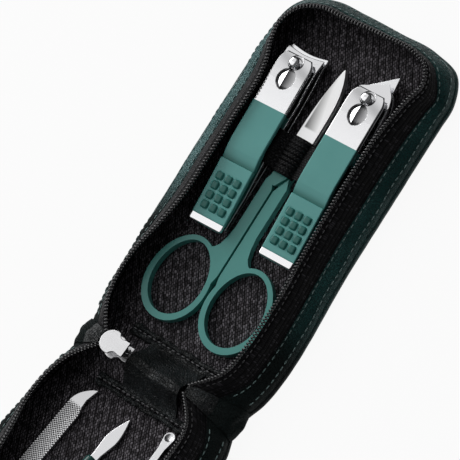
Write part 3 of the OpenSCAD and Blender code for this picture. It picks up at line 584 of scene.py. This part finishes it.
def weave_group():
    """Woven dashes: columns parted by dark lines, each made of a few threads, and each thread cut
    into dashes that are shifted against the next thread's."""
    group, start = new_group("weave", ("Vector", "Along", "Across", "Shift", "Square", "Threads"),
                             ("Height", "Shade"))
    wobble = noise(group, start.outputs["Vector"], 500.0, 1.0)
    part = add(group, "ShaderNodeSeparateXYZ", {0: start.outputs["Vector"]})
    v = math_node(group, "DIVIDE", part.outputs[1], start.outputs["Across"])
    v = math_node(group, "MULTIPLY_ADD", wobble, 0.5, v)
    column = math_node(group, "FLOOR", v)
    threads = math_node(group, "MULTIPLY", v, start.outputs["Threads"])
    thread = math_node(group, "FLOOR", threads)
    u = math_node(group, "DIVIDE", part.outputs[0], start.outputs["Along"])
    u = math_node(group, "MULTIPLY_ADD", wobble, 0.5, u)
    u = math_node(group, "ADD", u, math_node(group, "MULTIPLY", thread, start.outputs["Shift"]))
    cell = math_node(group, "FLOOR", u)
    high = 1.0
    for value, whole, power in ((u, cell, start.outputs["Square"]), (threads, thread, 2.4),
                                (v, column, None)):
        middle = math_node(group, "MULTIPLY_ADD", math_node(group, "SUBTRACT", value, whole), 2.0, -1.0)
        middle = math_node(group, "ABSOLUTE", middle)
        if power:
            hump = math_node(group, "SUBTRACT", 1.0, math_node(group, "POWER", middle, power))
        else:
            hump = spread(group, middle, 0.92, 0.68, first=0.1)
        high = math_node(group, "MULTIPLY", high, hump)
    both = add(group, "ShaderNodeCombineXYZ", {0: cell, 1: thread})
    shade = add(group, "ShaderNodeTexWhiteNoise", {"Vector": both.outputs[0]}, noise_dimensions="2D")
    add(group, "NodeGroupOutput", {"Height": high, "Shade": shade.outputs["Value"]})
    return group


weave = weave_group()


def fabric(name, dark, light, along, across, shift, turn=0.0, coords="Object", depth=0.0003, rough=0.6,
           power=1.2, square=2.4, shine=0.12, threads=1.0, tone_and_glint_power=2.5):
    """Woven cloth: dark between the threads, each thread a little lighter or darker than the next; with a
    high power on that spread only a few threads stay bright, as painted glints.
    """
    material, tree = new_material(name)
    at = add(tree, "ShaderNodeTexCoord").outputs[coords]
    turned = add(tree, "ShaderNodeMapping", {"Vector": at, "Rotation": (0, 0, turn)})
    cloth = add(tree, "ShaderNodeGroup", {"Vector": turned.outputs[0], "Along": along, "Across": across,
                                          "Shift": shift, "Square": square, "Threads": threads},
                node_tree=weave)
    peak = math_node(tree, "POWER", math_node(tree, "MAXIMUM", cloth.outputs["Height"], 0.0), power)
    odd = math_node(tree, "POWER", cloth.outputs["Shade"], tone_and_glint_power)
    lit = math_node(tree, "MULTIPLY", peak, math_node(tree, "MULTIPLY_ADD", odd, 0.85, 0.15))
    surface(tree, {"Base Color": mix(tree, lit, dark, light), "Roughness": rough, "Specular IOR Level": shine,
                   "Normal": relief(tree, cloth.outputs["Height"], depth)})
    return material


# The tape's few bright threads are painted glints.
tape_cloth = fabric("zip_tape_cloth", (0.0006, 0.0006, 0.0009, 1), (0.06, 0.058, 0.066, 1), 0.0006, 0.0006,
                    0.5, coords="UV", depth=0.00012, rough=0.55, tone_and_glint_power=6.0)
tape_foot = wall_point(SEAM_SHARE + 0.22 * far_part - 0.1, 0, 6.2 + 2.9 * far_part + 2.0 * near_part)
tape_head = wall_point(0.985, 0, 12.4)
t = np.linspace(0, 1, 16)[None, :, None]
tape_grid = tape_foot[:, None] * (1 - t) + tape_head[:, None] * t
tape_grid[..., 2] += 0.9 * np.sin(math.pi * t[..., 0])
tape_grid[..., 2] += 0.10 * ripples(run[:, :16], rise[:, :16], 12, 8, 5, 20)
for half, lid, body in HALVES:
    tape = skin(half + "_tape", tape_grid, -0.5, [tape_cloth], lid)
    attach(tape, body)
    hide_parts(half + "_zip_tape")

# ---- Zip coil -----------------------------------------------------------------------------------
# Black nylon wire wound in a coil, sewn along the edge of the tape; each turn is one tooth.
COIL_PITCH = 1.08
coil_plastic, tree = new_material("coil_nylon")
scuff = noise(tree, object_place(tree), 1500.0)
surface(tree, {"Base Color": mix(tree, scuff, (0.003, 0.003, 0.004, 1), (0.03, 0.03, 0.033, 1)),
               "Roughness": math_node(tree, "MULTIPLY_ADD", scuff, 0.25, 0.16), "Specular IOR Level": 0.7})

middle = np.column_stack([coil_line - 0.35 * out_way, np.full(len(coil_line), 12.75)])
reach = np.concatenate([[0], np.cumsum(np.linalg.norm(np.diff(middle, axis=0), axis=1))])
turns = np.arange(0, reach[-1], COIL_PITCH / 12)
spine = np.column_stack([np.interp(turns, reach, middle[:, k]) for k in range(3)])
outward = np.column_stack([np.interp(turns, reach, out_3d[:, k]) for k in range(3)])
outward /= np.linalg.norm(outward, axis=1, keepdims=True)
angle = turns / COIL_PITCH * 2 * math.pi
spoke = outward * np.cos(angle)[:, None] * 0.60 + np.array([0, 0, 0.46]) * np.sin(angle)[:, None]
for half, lid, body in HALVES:
    aim = spoke / np.linalg.norm(spoke, axis=1, keepdims=True)
    coil = tube(half + "_coil", spine + spoke, aim, 0.21, 0.25, 6, [coil_plastic], lid)
    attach(coil, body)
    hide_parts(half + "_zip_teeth")
    sewn = wall_point(0.86, 0, 11.75)
    sewn[:, 2] += 0.35
    spot, way = along_line(sewn, 1.9, 3)
    up = np.tile([0, 0, 1.0], (len(spot), 1))
    row = beads(half + "_coil_stitches", spot, way, up, (0.62, 0.2, 0.2), black_thread, lid)
    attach(row, body)

# ---- Lining -------------------------------------------------------------------------------------
# Black and grey woven lining glued to the board, and a band of it up the inside of the wall.
lining_cloth = fabric("lining_cloth", (0.002, 0.0018, 0.0022, 1), (0.26, 0.24, 0.265, 1), 0.0012, 0.0022,
                      0.36, turn=-math.radians(121), depth=0.0002, rough=0.7, power=1.0, square=3.0,
                      threads=3.0, tone_and_glint_power=1.3)
floor_top = panel_grid(1.8, 2.1, rows=200, cols=110)
floor_top[..., 2] += 0.10 * ripples(floor_top[..., 0], floor_top[..., 1], 21, 8, 12, 40)
floor_bottom = panel_grid(1.8, 1.72, rows=200, cols=110)
band_low = wall_point(0.09, -0.3, 2.3)
band_mid = wall_point(0.10, -0.4, 4.9)
band_high = wall_point(SEAM_SHARE + 0.22 * far_part - 0.22, 0, 5.4 + 2.0 * far_part + 2.0 * near_part)
t = np.linspace(0, 1, 10)[None, :, None]
band_grid = (1 - t) ** 2 * band_low[:, None] + 2 * t * (1 - t) * band_mid[:, None] + t**2 * band_high[:, None]
for half, lid, body in HALVES:
    floor = between(half + "_lining", floor_top, floor_bottom, [lining_cloth], lid)
    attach(floor, body)
    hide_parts(half + "_lining_floor")
    band = skin(half + "_lining_side", band_grid, -0.35, [lining_cloth], lid)
    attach(band, body)
    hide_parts(half + "_lining_band")

# ---- Hinge: spine, lining over it, strap and gussets --------------------------------------------
# Soft leather joins the two halves: an outer spine, a lining over it, a wrinkled strap sewn over
# the gap, rolled seams at the lining's two ends, and a gusset at each side.
black_leather = leather("black_leather", (0.002, 0.0032, 0.0034, 1), (0.035, 0.042, 0.045, 1), 0.0009, 0.30,
                        0.00022, spot=0.7, glint=0.9)


def arch(x_from, x_to, y, z, hump, rows=46, cols=60, crumple=0.0, seed=1):
    """Sheet across the hinge: straight from the base to the lid at height z, humped up between
    them by a squared sine, and crumpled."""
    s = np.linspace(0, 1, rows)[:, None]
    x = np.linspace(x_from, x_to, cols)[None]
    start = np.array([0.0, y, z])
    end = on_lid(start)
    line = start + (end - start) * s[..., None]
    grid = np.repeat(line, cols, axis=1) * [0, 1, 1] + x[..., None] * [1, 0, 0]
    fold = ripples(grid[..., 1], 0.35 * x, seed, 9, 2.2, 7) * np.sin(math.pi * np.clip(s, 0.02, 0.98))
    grid[..., 2] += hump * np.sin(math.pi * s) ** 2 + crumple * fold
    return grid


def fold_over(piece, *replaced):
    """Bake the piece's placement into its mesh and hide the CAD parts it replaces; its shape already runs
    from the base half to the lid half over the hinge.
    """
    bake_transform(piece)
    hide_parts(*replaced)


spine_low = arch(-30.6, 30.4, 8.6, 0.0, 4.4, crumple=0.12, seed=31)
spine = between("spine_skin", spine_low + [0, 0, 0.8], spine_low, [outer_leather])
fold_over(spine, "spine_leather")
under = arch(-29, 29, 8.6, 2.15, 4.4, crumple=0.16, seed=32)
spine_cloth = between("spine_lining_cloth", under + [0, 0, 0.4], under, [lining_cloth])
fold_over(spine_cloth, "spine_lining")

strap_low = arch(-9.2, 12.2, 6.9, 3.2, 7.9, 90, 70, 0.34, 33)
pinch = 1 - 0.05 * np.sin(math.pi * np.linspace(0, 1, 90))[:, None]
strap_low[..., 0] = 1.5 + (strap_low[..., 0] - 1.5) * pinch
strap = between("strap_leather", strap_low + [0, 0, 0.9], strap_low, [black_leather])
fold_over(strap, "hinge_strap")

for half, lid, body in HALVES:
    x = np.linspace(-17.5, 17.5, 150)
    for number, (y, z, fat) in enumerate(((7.0, 3.6, 0.95), (9.0, 3.1, 0.8))):
        path = np.column_stack([x, y + 0.22 * ripples(x, 0 * x, 40 + number, 6, 2.5, 8),
                                z + 0.22 * ripples(x, 0 * x, 50 + number, 6, 2.5, 7)])
        width = fat * (1 + 0.16 * ripples(x, 0 * x, 60 + number, 5, 2, 6))
        roll = tube(f"{half}_rolled_seam_{number + 1}", path, np.tile([0, 1.0, 0], (150, 1)), width,
                    fat * 0.8, 12, [black_leather], lid)
        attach(roll, body)
    spot, way = along_line(np.column_stack([x, np.full(150, 8.0), np.full(150, 4.1)]), 1.9, 1)
    stitch = beads(half + "_lining_stitches", spot, way, np.tile([0, 0, 1.0], (len(spot), 1)),
                   (0.66, 0.24, 0.24), grey_thread, lid)
    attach(stitch, body)

for side, end in (("left", 2), ("right", -3)):
    wall = np.vstack([side_grid[end], tape_grid[end][2:]])
    s = np.linspace(0, 1, 30)[:, None, None]
    other = on_lid(wall)
    sheet = wall[None] * (1 - s) + other[None] * s
    push = (0.9 * np.sin(math.pi * s[..., 0]) + 0.35 * np.sin(math.pi * s[..., 0])
            * ripples(s[..., 0] * 7, np.linspace(0, 14, len(wall))[None], 70 + end, 8, 2.5, 8))
    push = push * (1 - ramp(np.arange(len(wall)), len(wall) - 8, len(wall)))[None]
    sheet = sheet + push[..., None] * (out_3d[end] + [0, 0, 0.3])
    kinds = np.where(np.arange(len(wall) - 1) < 19, 0, 1)
    thick = 0.5 if side == "left" else -0.5
    gusset = skin(side + "_gusset", np.swapaxes(sheet, 0, 1), thick, [outer_leather])
    gusset.data.materials.append(black_leather)
    row = np.arange(len(gusset.data.polygons))
    first = (len(wall) - 1) * 29
    kind = np.zeros(len(row), np.int32)
    kind[:first] = np.repeat(kinds, 29)
    kind[first:2 * first] = np.repeat(kinds, 29)
    gusset.data.polygons.foreach_set("material_index", kind)
    fold_over(gusset, "gusset_" + side)

# ---- Zip slider, pull tab and zip ends ----------------------------------------------------------
# The slider is cast and plated dull silver; its pull tab hangs under the strap.  The joined end of
# the zip runs from the slider under the strap, and a folded leather tab covers the other end.


def soften(node, width, segments, material):
    """Give a CAD node rounded edges and a finish: its loose triangles are merged, then bevelled."""
    piece = nodes[node]
    weld = piece.modifiers.new("merge", "WELD")
    weld.merge_threshold = 0.000004
    bevel = piece.modifiers.new("round_edges", "BEVEL")
    bevel.width = width
    bevel.segments = segments
    bevel.limit_method = "ANGLE"
    bevel.angle_limit = math.radians(35)
    bevel.use_clamp_overlap = True
    bevel.harden_normals = True
    piece.data.materials.clear()
    piece.data.materials.append(material)
    return piece


def metal(name, colour, rough, smear=0.08, scratch=0.00001, scale=(300.0, 40.0, 300.0), turn=0.0, painted_shade=None):
    """Polished metal: faint lengthwise polishing marks and fingerprints in the gloss; if an attribute
    is named for it, painted shade darkens the metal where that attribute says so."""
    material, tree = new_material(name)
    at = object_place(tree)
    turned = add(tree, "ShaderNodeMapping", {"Vector": at, "Rotation": (0, 0, turn), "Scale": scale})
    marks = noise(tree, turned.outputs[0], 12.0, 4.0)
    prints = noise(tree, at, 140.0)
    tone = mix(tree, prints, toned(colour, 0.94), colour)
    if painted_shade:
        mask = add(tree, "ShaderNodeAttribute", attribute_name=painted_shade)
        tone = mix(tree, mask.outputs["Fac"], tone, (0.012, 0.012, 0.014, 1))
    surface(tree, {"Base Color": tone, "Metallic": 1.0, "Normal": relief(tree, marks, scratch),
                   "Roughness": math_node(tree, "MULTIPLY_ADD", prints, smear, rough)})
    return material


slider_metal = metal("slider_plating", (0.86, 0.86, 0.87, 1), 0.22, 0.12)
soften("zip_slider", 0.00022, 3, slider_metal)
# The pull tab's plating is painted dark grey to stand for the shade it sits in under the strap.
soften("zip_pull_tab", 0.0002, 3, metal("tab_plating_painted_dark", (0.30, 0.30, 0.31, 1), 0.35, 0.12))


def half_turned(points):
    """Points of the zip's own plane, which lies half way between the two halves."""
    c, s = math.cos(LID_RISE / 2), math.sin(LID_RISE / 2)
    points = np.asarray(points, float)
    x, y, z = points[..., 0], points[..., 1], points[..., 2] - ZIP_PLANE
    return np.stack([x, y * c + z * s, ZIP_PLANE - y * s + z * c], -1)


for side, sign in (("near", -1), ("far", 1)):
    x = np.arange(-15.0, -9.4, COIL_PITCH / 12)
    angle = sign * x / COIL_PITCH * 2 * math.pi
    spoke = np.column_stack([0 * x, 0.5 * np.cos(angle), 0.45 * np.sin(angle)])
    core = np.column_stack([x, np.full(len(x), sign * 0.82), np.full(len(x), 12.5)])
    chain = tube(side + "_chain_coil", half_turned(core + spoke), spoke + 1e-6, 0.25, 0.3, 6, [coil_plastic])
    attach(chain, "zip_end")
    if side == "near":
        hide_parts("zip_chain_end")

s, x = np.meshgrid(np.linspace(-1, 1, 20), np.linspace(-1, 1, 12), indexing="ij")
round_off = 0.3 * (np.abs(s) ** 6 + np.abs(x) ** 6)
tab_low = np.stack([13.3 + 0.85 * x, 2.2 * s, 10.5 + 0.1 * round_off], -1)
tab_top = np.stack([13.3 + 0.85 * x, 2.2 * s, 11.4 - round_off], -1)
zip_tab = between("zip_end_leather", half_turned(tab_top), half_turned(tab_low), [black_leather])
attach(zip_tab, "zip_end")
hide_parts("zip_end_tab")

# ---- Nail clippers: levers ----------------------------------------------------------------------
# Pressed steel levers, plated, with satin teal paint between the pads and the bright head.  A bent
# step parts two panels; the rear one carries moulded grip pads and ends in a bright bar.
chrome = metal("polished_chrome", (0.92, 0.92, 0.935, 1), 0.07, 0.07)
# The lever chrome has painted shade from the lever's shadow attribute: in the leaf recess, round the pin and
# in front of it.
lever_chrome = metal("lever_chrome", (0.92, 0.92, 0.935, 1), 0.08, 0.07, painted_shade="shadow")


def paint_material():
    """Satin teal paint with fine orange peel, paler and darker in soft random patches; pads are darker green,
    and painted shade darkens it on the head side of the bent step.
    """
    material, tree = new_material("teal_paint")
    at = object_place(tree)
    cloud = noise(tree, at, 120.0)
    # The pad attribute darkens the paint on the pads and, as painted shade, on the head side of the bent
    # step.
    pad = add(tree, "ShaderNodeAttribute", attribute_name="pad")
    tone = mix(tree, cloud, (0.115, 0.40, 0.372, 1), (0.150, 0.46, 0.43, 1))
    surface(tree, {"Base Color": mix(tree, pad.outputs["Fac"], tone, (0.024, 0.165, 0.142, 1)),
                   "Roughness": math_node(tree, "MULTIPLY_ADD", cloud, 0.12, 0.26),
                   "Normal": relief(tree, noise(tree, at, 1800.0, 2.0), 0.000012),
                   "Specular IOR Level": 0.3, "Coat Weight": 0.15, "Coat Roughness": 0.15})
    return material


teal_paint = paint_material()
LEVER_W, LEVER_END, PIN_Y = 12.2, 59.4, 56.6
PAD_PITCH, PAD_HALF, FIRST_PAD_Y = 3.25, 1.32, 5.9
LEAF_LONG, LEAF_WIDE = 7.4, 6.2
PAINT_FROM, PAINT_TO = 2.6, 41.2
top_profile = np.array([
    (0, 5.95), (0.5, 6.25), (2.45, 6.2), (2.6, 5.95), (2.8, 6.2), (21.0, 7.7), (21.3, 7.12), (22.2, 7.45),
    (25, 8.3), (28, 8.58), (30, 8.6), (50, 8.6), (53, 8.57), (55, 8.49), (57.2, 8.32), (58.6, 8.05),
    (59.4, 7.75)])
low_profile = np.array([(0, 4.45), (2.6, 4.7), (19, 6.0), (22.2, 5.5), (29, 7.1), (57.2, 7.1), (59.4, 7.35)])


def lever_grids():
    """Top and underside of a lever: the side profile, less rounded edges, with domed pads, a leaf
    recess whose floor is a two-sided roof, and a sunk ring round the pin.  Also the pad mask, which holds
    painted shade on the head side of the bent step as well, and a mask of painted shade for the chrome in the
    recess and round the pin."""
    y = np.unique(np.round(np.concatenate([
        np.linspace(0, 2.4, 14), [2.45, 2.52, 2.6, 2.8], np.linspace(2.9, 20.9, 166),
        [21.0, 21.05, 21.15, 21.3], np.linspace(21.6, 30, 24), np.linspace(31, 41, 10), [41.2],
        np.linspace(42, 46.5, 10), np.linspace(46.6, LEVER_END, 130)]), 4))
    across = np.linspace(-1, 1, 113)
    across = np.sign(across) * (1 - (1 - np.abs(across)) ** 1.25)
    front = np.sqrt(np.maximum((LEVER_W / 2) ** 2 - np.clip(y - 55.2, 0, None) ** 2, 0))
    rear = 1.1 - np.sqrt(np.maximum(1.1**2 - np.clip(1.1 - y, 0, None) ** 2, 0))
    width = np.where(y > 55.2, front, LEVER_W / 2) - rear
    x = width[:, None] * across[None]
    y = y[:, None] * np.ones((1, len(across)))
    edge = np.minimum(width[:, None] - np.abs(x), np.minimum(y, LEVER_END - y))
    round_edge = 0.38 - np.sqrt(np.maximum(0.38**2 - np.clip(0.38 - edge, 0, None) ** 2, 0))
    top = np.interp(y, *top_profile.T) - round_edge
    pad = np.zeros_like(x)
    for column in (-1, 0, 1):
        for line in range(4):
            far = (((x - PAD_PITCH * column) / PAD_HALF) ** 4
                   + ((y - FIRST_PAD_Y - PAD_PITCH * line) / PAD_HALF) ** 4)
            top += 0.62 * np.sqrt(np.clip(1 - far, 0, 1)) - 0.10 * np.exp(-((far**0.25 - 1.08) / 0.10) ** 2)
            pad = np.maximum(pad, ramp(1.15 - far, 0, 0.3))
    leaf_r = (LEAF_LONG**2 / 4 + LEAF_WIDE**2 / 4) / LEAF_WIDE
    leaf_y = PIN_Y - 1.9 - LEAF_LONG / 2
    inside = leaf_r - np.hypot(np.abs(x) + leaf_r - LEAF_WIDE / 2, y - leaf_y)
    half = np.sqrt(np.maximum(leaf_r**2 - (y - leaf_y) ** 2, 0)) - leaf_r + LEAF_WIDE / 2
    ridge = -0.55
    slope = np.where(x < ridge, (x + half) / np.maximum(ridge + half, 0.2),
                     (half - x) / np.maximum(half - ridge, 0.2))
    roof = 0.85 - 0.62 * np.clip(slope, 0, 1)
    top -= ramp(inside, 0.0, 0.16) * roof
    ring = np.hypot(x - 0.25, y - PIN_Y - 0.3)
    top -= 0.30 * (1 - ramp(ring, 2.15, 2.6)) + 0.75 * (1 - ramp(np.hypot(x, y - PIN_Y), 1.95, 2.15))
    low = np.interp(y, *low_profile.T) + 0.5 * round_edge
    low = np.minimum(low, top - 0.12)
    # Painted shade for the chrome: dark right of the recess ridge fading towards its right edge, dark rims
    # round the recess and the pin, a dark crescent in front of the pin and a faint band over it.
    right = np.clip((x - ridge) / np.maximum(half - ridge, 0.3), 0, 1)
    shadow = ramp(inside, 0.0, 0.12) * np.where(x > ridge, 0.97 - 0.75 * right**1.3, 0.0)
    shadow = np.maximum(shadow, 0.93 * np.exp(-((inside - 0.16) / 0.17) ** 2))
    shadow = np.maximum(shadow, 0.95 * np.exp(-((np.hypot(x, y - PIN_Y) - 2.0) / 0.26) ** 2))
    crescent = np.exp(-((ring - 2.45) / 0.22) ** 2) * ramp(x - 0.25 + y - PIN_Y, 0.2, 2.2)
    shadow = np.maximum(shadow, 0.8 * crescent)
    shadow = np.maximum(shadow, 0.34 * np.exp(-((y - PIN_Y + 0.5 + 0.35 * x) / 2.1) ** 2))
    # Painted shade on the head side of the bent step, kept in the pad mask so the paint darkens there.
    crease_shade = 0.85 * np.exp(-((y - 21.25) / 1.5) ** 2) * (y > 21.1)
    return np.stack([x, y, top], -1), np.stack([x, y, low], -1), np.maximum(pad, crease_shade), shadow


lever_top, lever_low, pad_and_crease_shade, shadow_mask = lever_grids()
row_y = lever_top[:, 0, 1]
row_middle = (row_y[:-1] + row_y[1:]) / 2
painted = (row_middle > PAINT_FROM) & (row_middle < PAINT_TO)
CLIPPERS = (("straight_clipper", (-13.0, 45.2), 1.8), ("oblique_clipper", (13.5, 46.2), 1.2))


def laid(points, at, lean, z=2.25):
    """Points of a tool's own frame, turned in plan and moved to where it lies."""
    c, s = math.cos(math.radians(lean)), math.sin(math.radians(lean))
    return np.stack([at[0] + points[..., 0] * c - points[..., 1] * s,
                     at[1] + points[..., 0] * s + points[..., 1] * c, z + points[..., 2]], -1)


for name, at, lean in CLIPPERS:
    lever = between(name + "_painted_lever", laid(lever_top, at, lean), laid(lever_low, at, lean),
                    [lever_chrome, teal_paint], face_rows=painted.astype(int), smooth=50)
    for label, values in (("pad", pad_and_crease_shade), ("shadow", shadow_mask)):
        mask = lever.data.attributes.new(label, "FLOAT", "POINT")
        mask.data.foreach_set("value", np.concatenate([values.ravel(), 0 * values.ravel()]))
    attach(lever, name + "_handle")
    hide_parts(name + "_lever")

# ---- Nail clippers: jaws, rivet and pin ---------------------------------------------------------
# Two spring-steel plates, polished and plated, riveted at the rear; the round-headed pin draws
# them together.
jaw_steel = metal("jaw_steel", (0.84, 0.845, 0.86, 1), 0.10, 0.08)
for name, at, lean in CLIPPERS:
    soften(name + "_lower_jaw", 0.0002, 3, jaw_steel)
    soften(name + "_upper_jaw", 0.00022, 3, chrome)
    soften(name + "_rivet", 0.00015, 3, jaw_steel)
    soften(name + "_pin", 0.00025, 3, chrome)

# ---- Scissors -----------------------------------------------------------------------------------
# Cuticle scissors: flat forged halves on one screw.  Shanks and finger loops are painted satin
# teal; the blades are bare ground steel.


def scissor_material():
    """Teal paint up to the neck and ground steel beyond it, with a sharp border between them."""
    material, tree = new_material("scissor_finish")
    at = object_place(tree)
    part = add(tree, "ShaderNodeSeparateXYZ", {0: at})
    bare = spread(tree, part.outputs[1], 0.0080, 0.0083)
    cloud = noise(tree, at, 120.0)
    tone = mix(tree, cloud, (0.075, 0.32, 0.285, 1), (0.105, 0.385, 0.35, 1))
    hollow = spread(tree, part.outputs[1], 0.0193, 0.0199)
    inner = spread(tree, part.outputs[0], -0.0036, -0.0032)
    ground = math_node(tree, "MULTIPLY", hollow, inner)
    # Painted reflection on the blades' hollow-ground faces: the steel colour runs from dark at the inner edge
    # to pale outwards and towards the tips.
    across = spread(tree, part.outputs[0], -0.0033, 0.0012, 0.10, 0.85)
    along = spread(tree, part.outputs[1], 0.0195, 0.034, 0.0, 0.55)
    painted_sheen = math_node(tree, "MINIMUM", math_node(tree, "ADD", across, along), 0.9)
    grey = add(tree, "ShaderNodeCombineXYZ", {0: painted_sheen, 1: painted_sheen, 2: painted_sheen})
    steel = mix(tree, ground, (0.90, 0.90, 0.91, 1), grey.outputs[0])
    surface(tree, {"Base Color": mix(tree, bare, tone, steel), "Metallic": bare,
                   "Roughness": math_node(tree, "MULTIPLY_ADD", cloud, 0.12, 0.24),
                   "Normal": relief(tree, noise(tree, at, 1800.0, 2.0), 0.00001),
                   "Specular IOR Level": 0.3, "Coat Weight": 0.15, "Coat Roughness": 0.15})
    return material


scissor_finish = scissor_material()
soften("scissors_left_half", 0.00045, 4, scissor_finish)
soften("scissors_right_half", 0.00045, 4, scissor_finish)
soften("scissors_screw", 0.00015, 3, jaw_steel)

# ---- Elastic bands ------------------------------------------------------------------------------
# Black knitted elastic sewn down at both walls, stretched over the tools; a gathered sleeve of it
# is drawn round the neck of the scissors.
elastic_cloth = fabric("elastic_knit", (0.001, 0.001, 0.0013, 1), (0.022, 0.022, 0.026, 1), 0.0011, 0.00075,
                       0.5, depth=0.0002, rough=0.5, shine=0.2)


def band(name, corners, y, width, thick, body, replaced, lid=False, seed=80):
    """Strip over the tools: a smooth line through the corners, its two edges curled down."""
    corners = np.array(corners, float)
    way = np.concatenate([[0], np.cumsum(np.linalg.norm(np.diff(corners, axis=0), axis=1))])
    fine = np.linspace(0, way[-1], 170)
    line = np.column_stack([np.interp(fine, way, corners[:, k]) for k in range(2)])
    for _ in range(14):
        line[1:-1] = (line[:-2] + 2 * line[1:-1] + line[2:]) / 4
    s = np.linspace(-1, 1, 26)
    grid = np.zeros((170, 26, 3))
    grid[..., 0] = line[:, :1]
    grid[..., 1] = y + width / 2 + s[None] * (width / 2 - 0.25 * np.sin(math.pi * fine / way[-1])[:, None])
    grid[..., 2] = line[:, 1:] + thick - 0.12 * s[None] ** 6
    grid[..., 2] += 0.05 * ripples(grid[..., 0], grid[..., 1], seed, 6, 4, 14)
    piece = skin(name, grid, thick, [elastic_cloth], lid)
    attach(piece, body)
    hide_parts(replaced)
    return piece


band("base_elastic", [(-23.4, 2.2), (-21.2, 7.4), (-6.9, 7.4), (-5.6, 5.7), (2.4, 5.7), (6.2, 7.4),
                      (20.8, 7.4), (23, 2.2)], 70.8, 12, 0.5, "base_half", "elastic_band")
band("lid_elastic", [(-24.4, 2.2), (-22.4, 3.65), (-13.1, 3.65), (-8.2, 5.95), (-0.7, 5.95), (9.3, 3.85),
                     (20, 3.65), (23, 2.2)], 62, 12, 0.5, "lid_half", "lid_elastic_band", True, 81)

SLEEVE_X, SLEEVE_FROM, SLEEVE_TO, SLEEVE_Z, RIBS = -1.1, 70.4, 83.2, 5.2, 9
sleeve_long = SLEEVE_TO - SLEEVE_FROM
turn = np.linspace(-0.05, 1.05, 40)[None] * math.pi
y = np.linspace(SLEEVE_FROM, SLEEVE_TO, 190)[:, None]
rib = 0.36 * np.abs(np.sin(math.pi * (y - SLEEVE_FROM) / (sleeve_long / RIBS))) ** 0.7
rib -= 0.4 * (np.abs(y - (SLEEVE_FROM + SLEEVE_TO) / 2) / (sleeve_long / 2)) ** 8
arc_x, arc_z = np.cos(turn), np.sin(turn)
sleeve_top = np.stack([SLEEVE_X - (3.9 + rib) * arc_x, y + 0.05 * np.sin(3 * turn),
                       SLEEVE_Z + (2.7 + rib) * arc_z], -1)
sleeve_low = np.stack([SLEEVE_X - 3.4 * arc_x + 0 * y, y + 0 * turn, SLEEVE_Z + 2.1 * arc_z + 0 * y], -1)
sleeve = between("gathered_sleeve", sleeve_top, sleeve_low, [elastic_cloth])
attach(sleeve, "base_half")
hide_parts("elastic_sleeve")

# ---- Tools of the lid ---------------------------------------------------------------------------
# A steel nail file with cross-cut teeth and a hooked tip, a cuticle pusher with a painted handle,
# and a steel ear pick.


def file_material():
    """Polished steel whose broad face is cut by two crossing sets of fine grooves."""
    material, tree = new_material("file_steel")
    at = object_place(tree)
    part = add(tree, "ShaderNodeSeparateXYZ", {0: at})
    cut = spread(tree, part.outputs[1], -0.0878, -0.0892)
    lines = []
    for turn in (0.75, -0.75):
        turned = add(tree, "ShaderNodeMapping", {"Vector": at, "Rotation": (0, 0, turn)})
        lines.append(add(tree, "ShaderNodeTexWave", {"Vector": turned.outputs[0], "Scale": 480.0},
                         bands_direction="Y").outputs["Fac"])
    cross = math_node(tree, "MULTIPLY", math_node(tree, "MULTIPLY", lines[0], lines[1]), cut)
    surface(tree, {"Base Color": mix(tree, cross, (0.80, 0.80, 0.81, 1), (0.42, 0.42, 0.43, 1)),
                   "Metallic": 1.0, "Roughness": math_node(tree, "MULTIPLY_ADD", cut, 0.14, 0.14),
                   "Normal": relief(tree, cross, 0.00016)})
    return material


soften("nail_file", 0.0002, 3, file_material())
soften("pusher_blade", 0.0003, 3, chrome)
soften("ear_pick", 0.0003, 3, metal("pick_steel", (0.84, 0.845, 0.86, 1), 0.26, 0.08))
handle_paint, tree = new_material("handle_paint")
cloud = noise(tree, object_place(tree), 160.0)
surface(tree, {"Base Color": mix(tree, cloud, (0.012, 0.075, 0.065, 1), (0.022, 0.10, 0.09, 1)),
               "Roughness": 0.25, "Normal": relief(tree, cloud, 0.00004), "Coat Weight": 0.3})
soften("pusher_handle", 0.0003, 3, handle_paint)
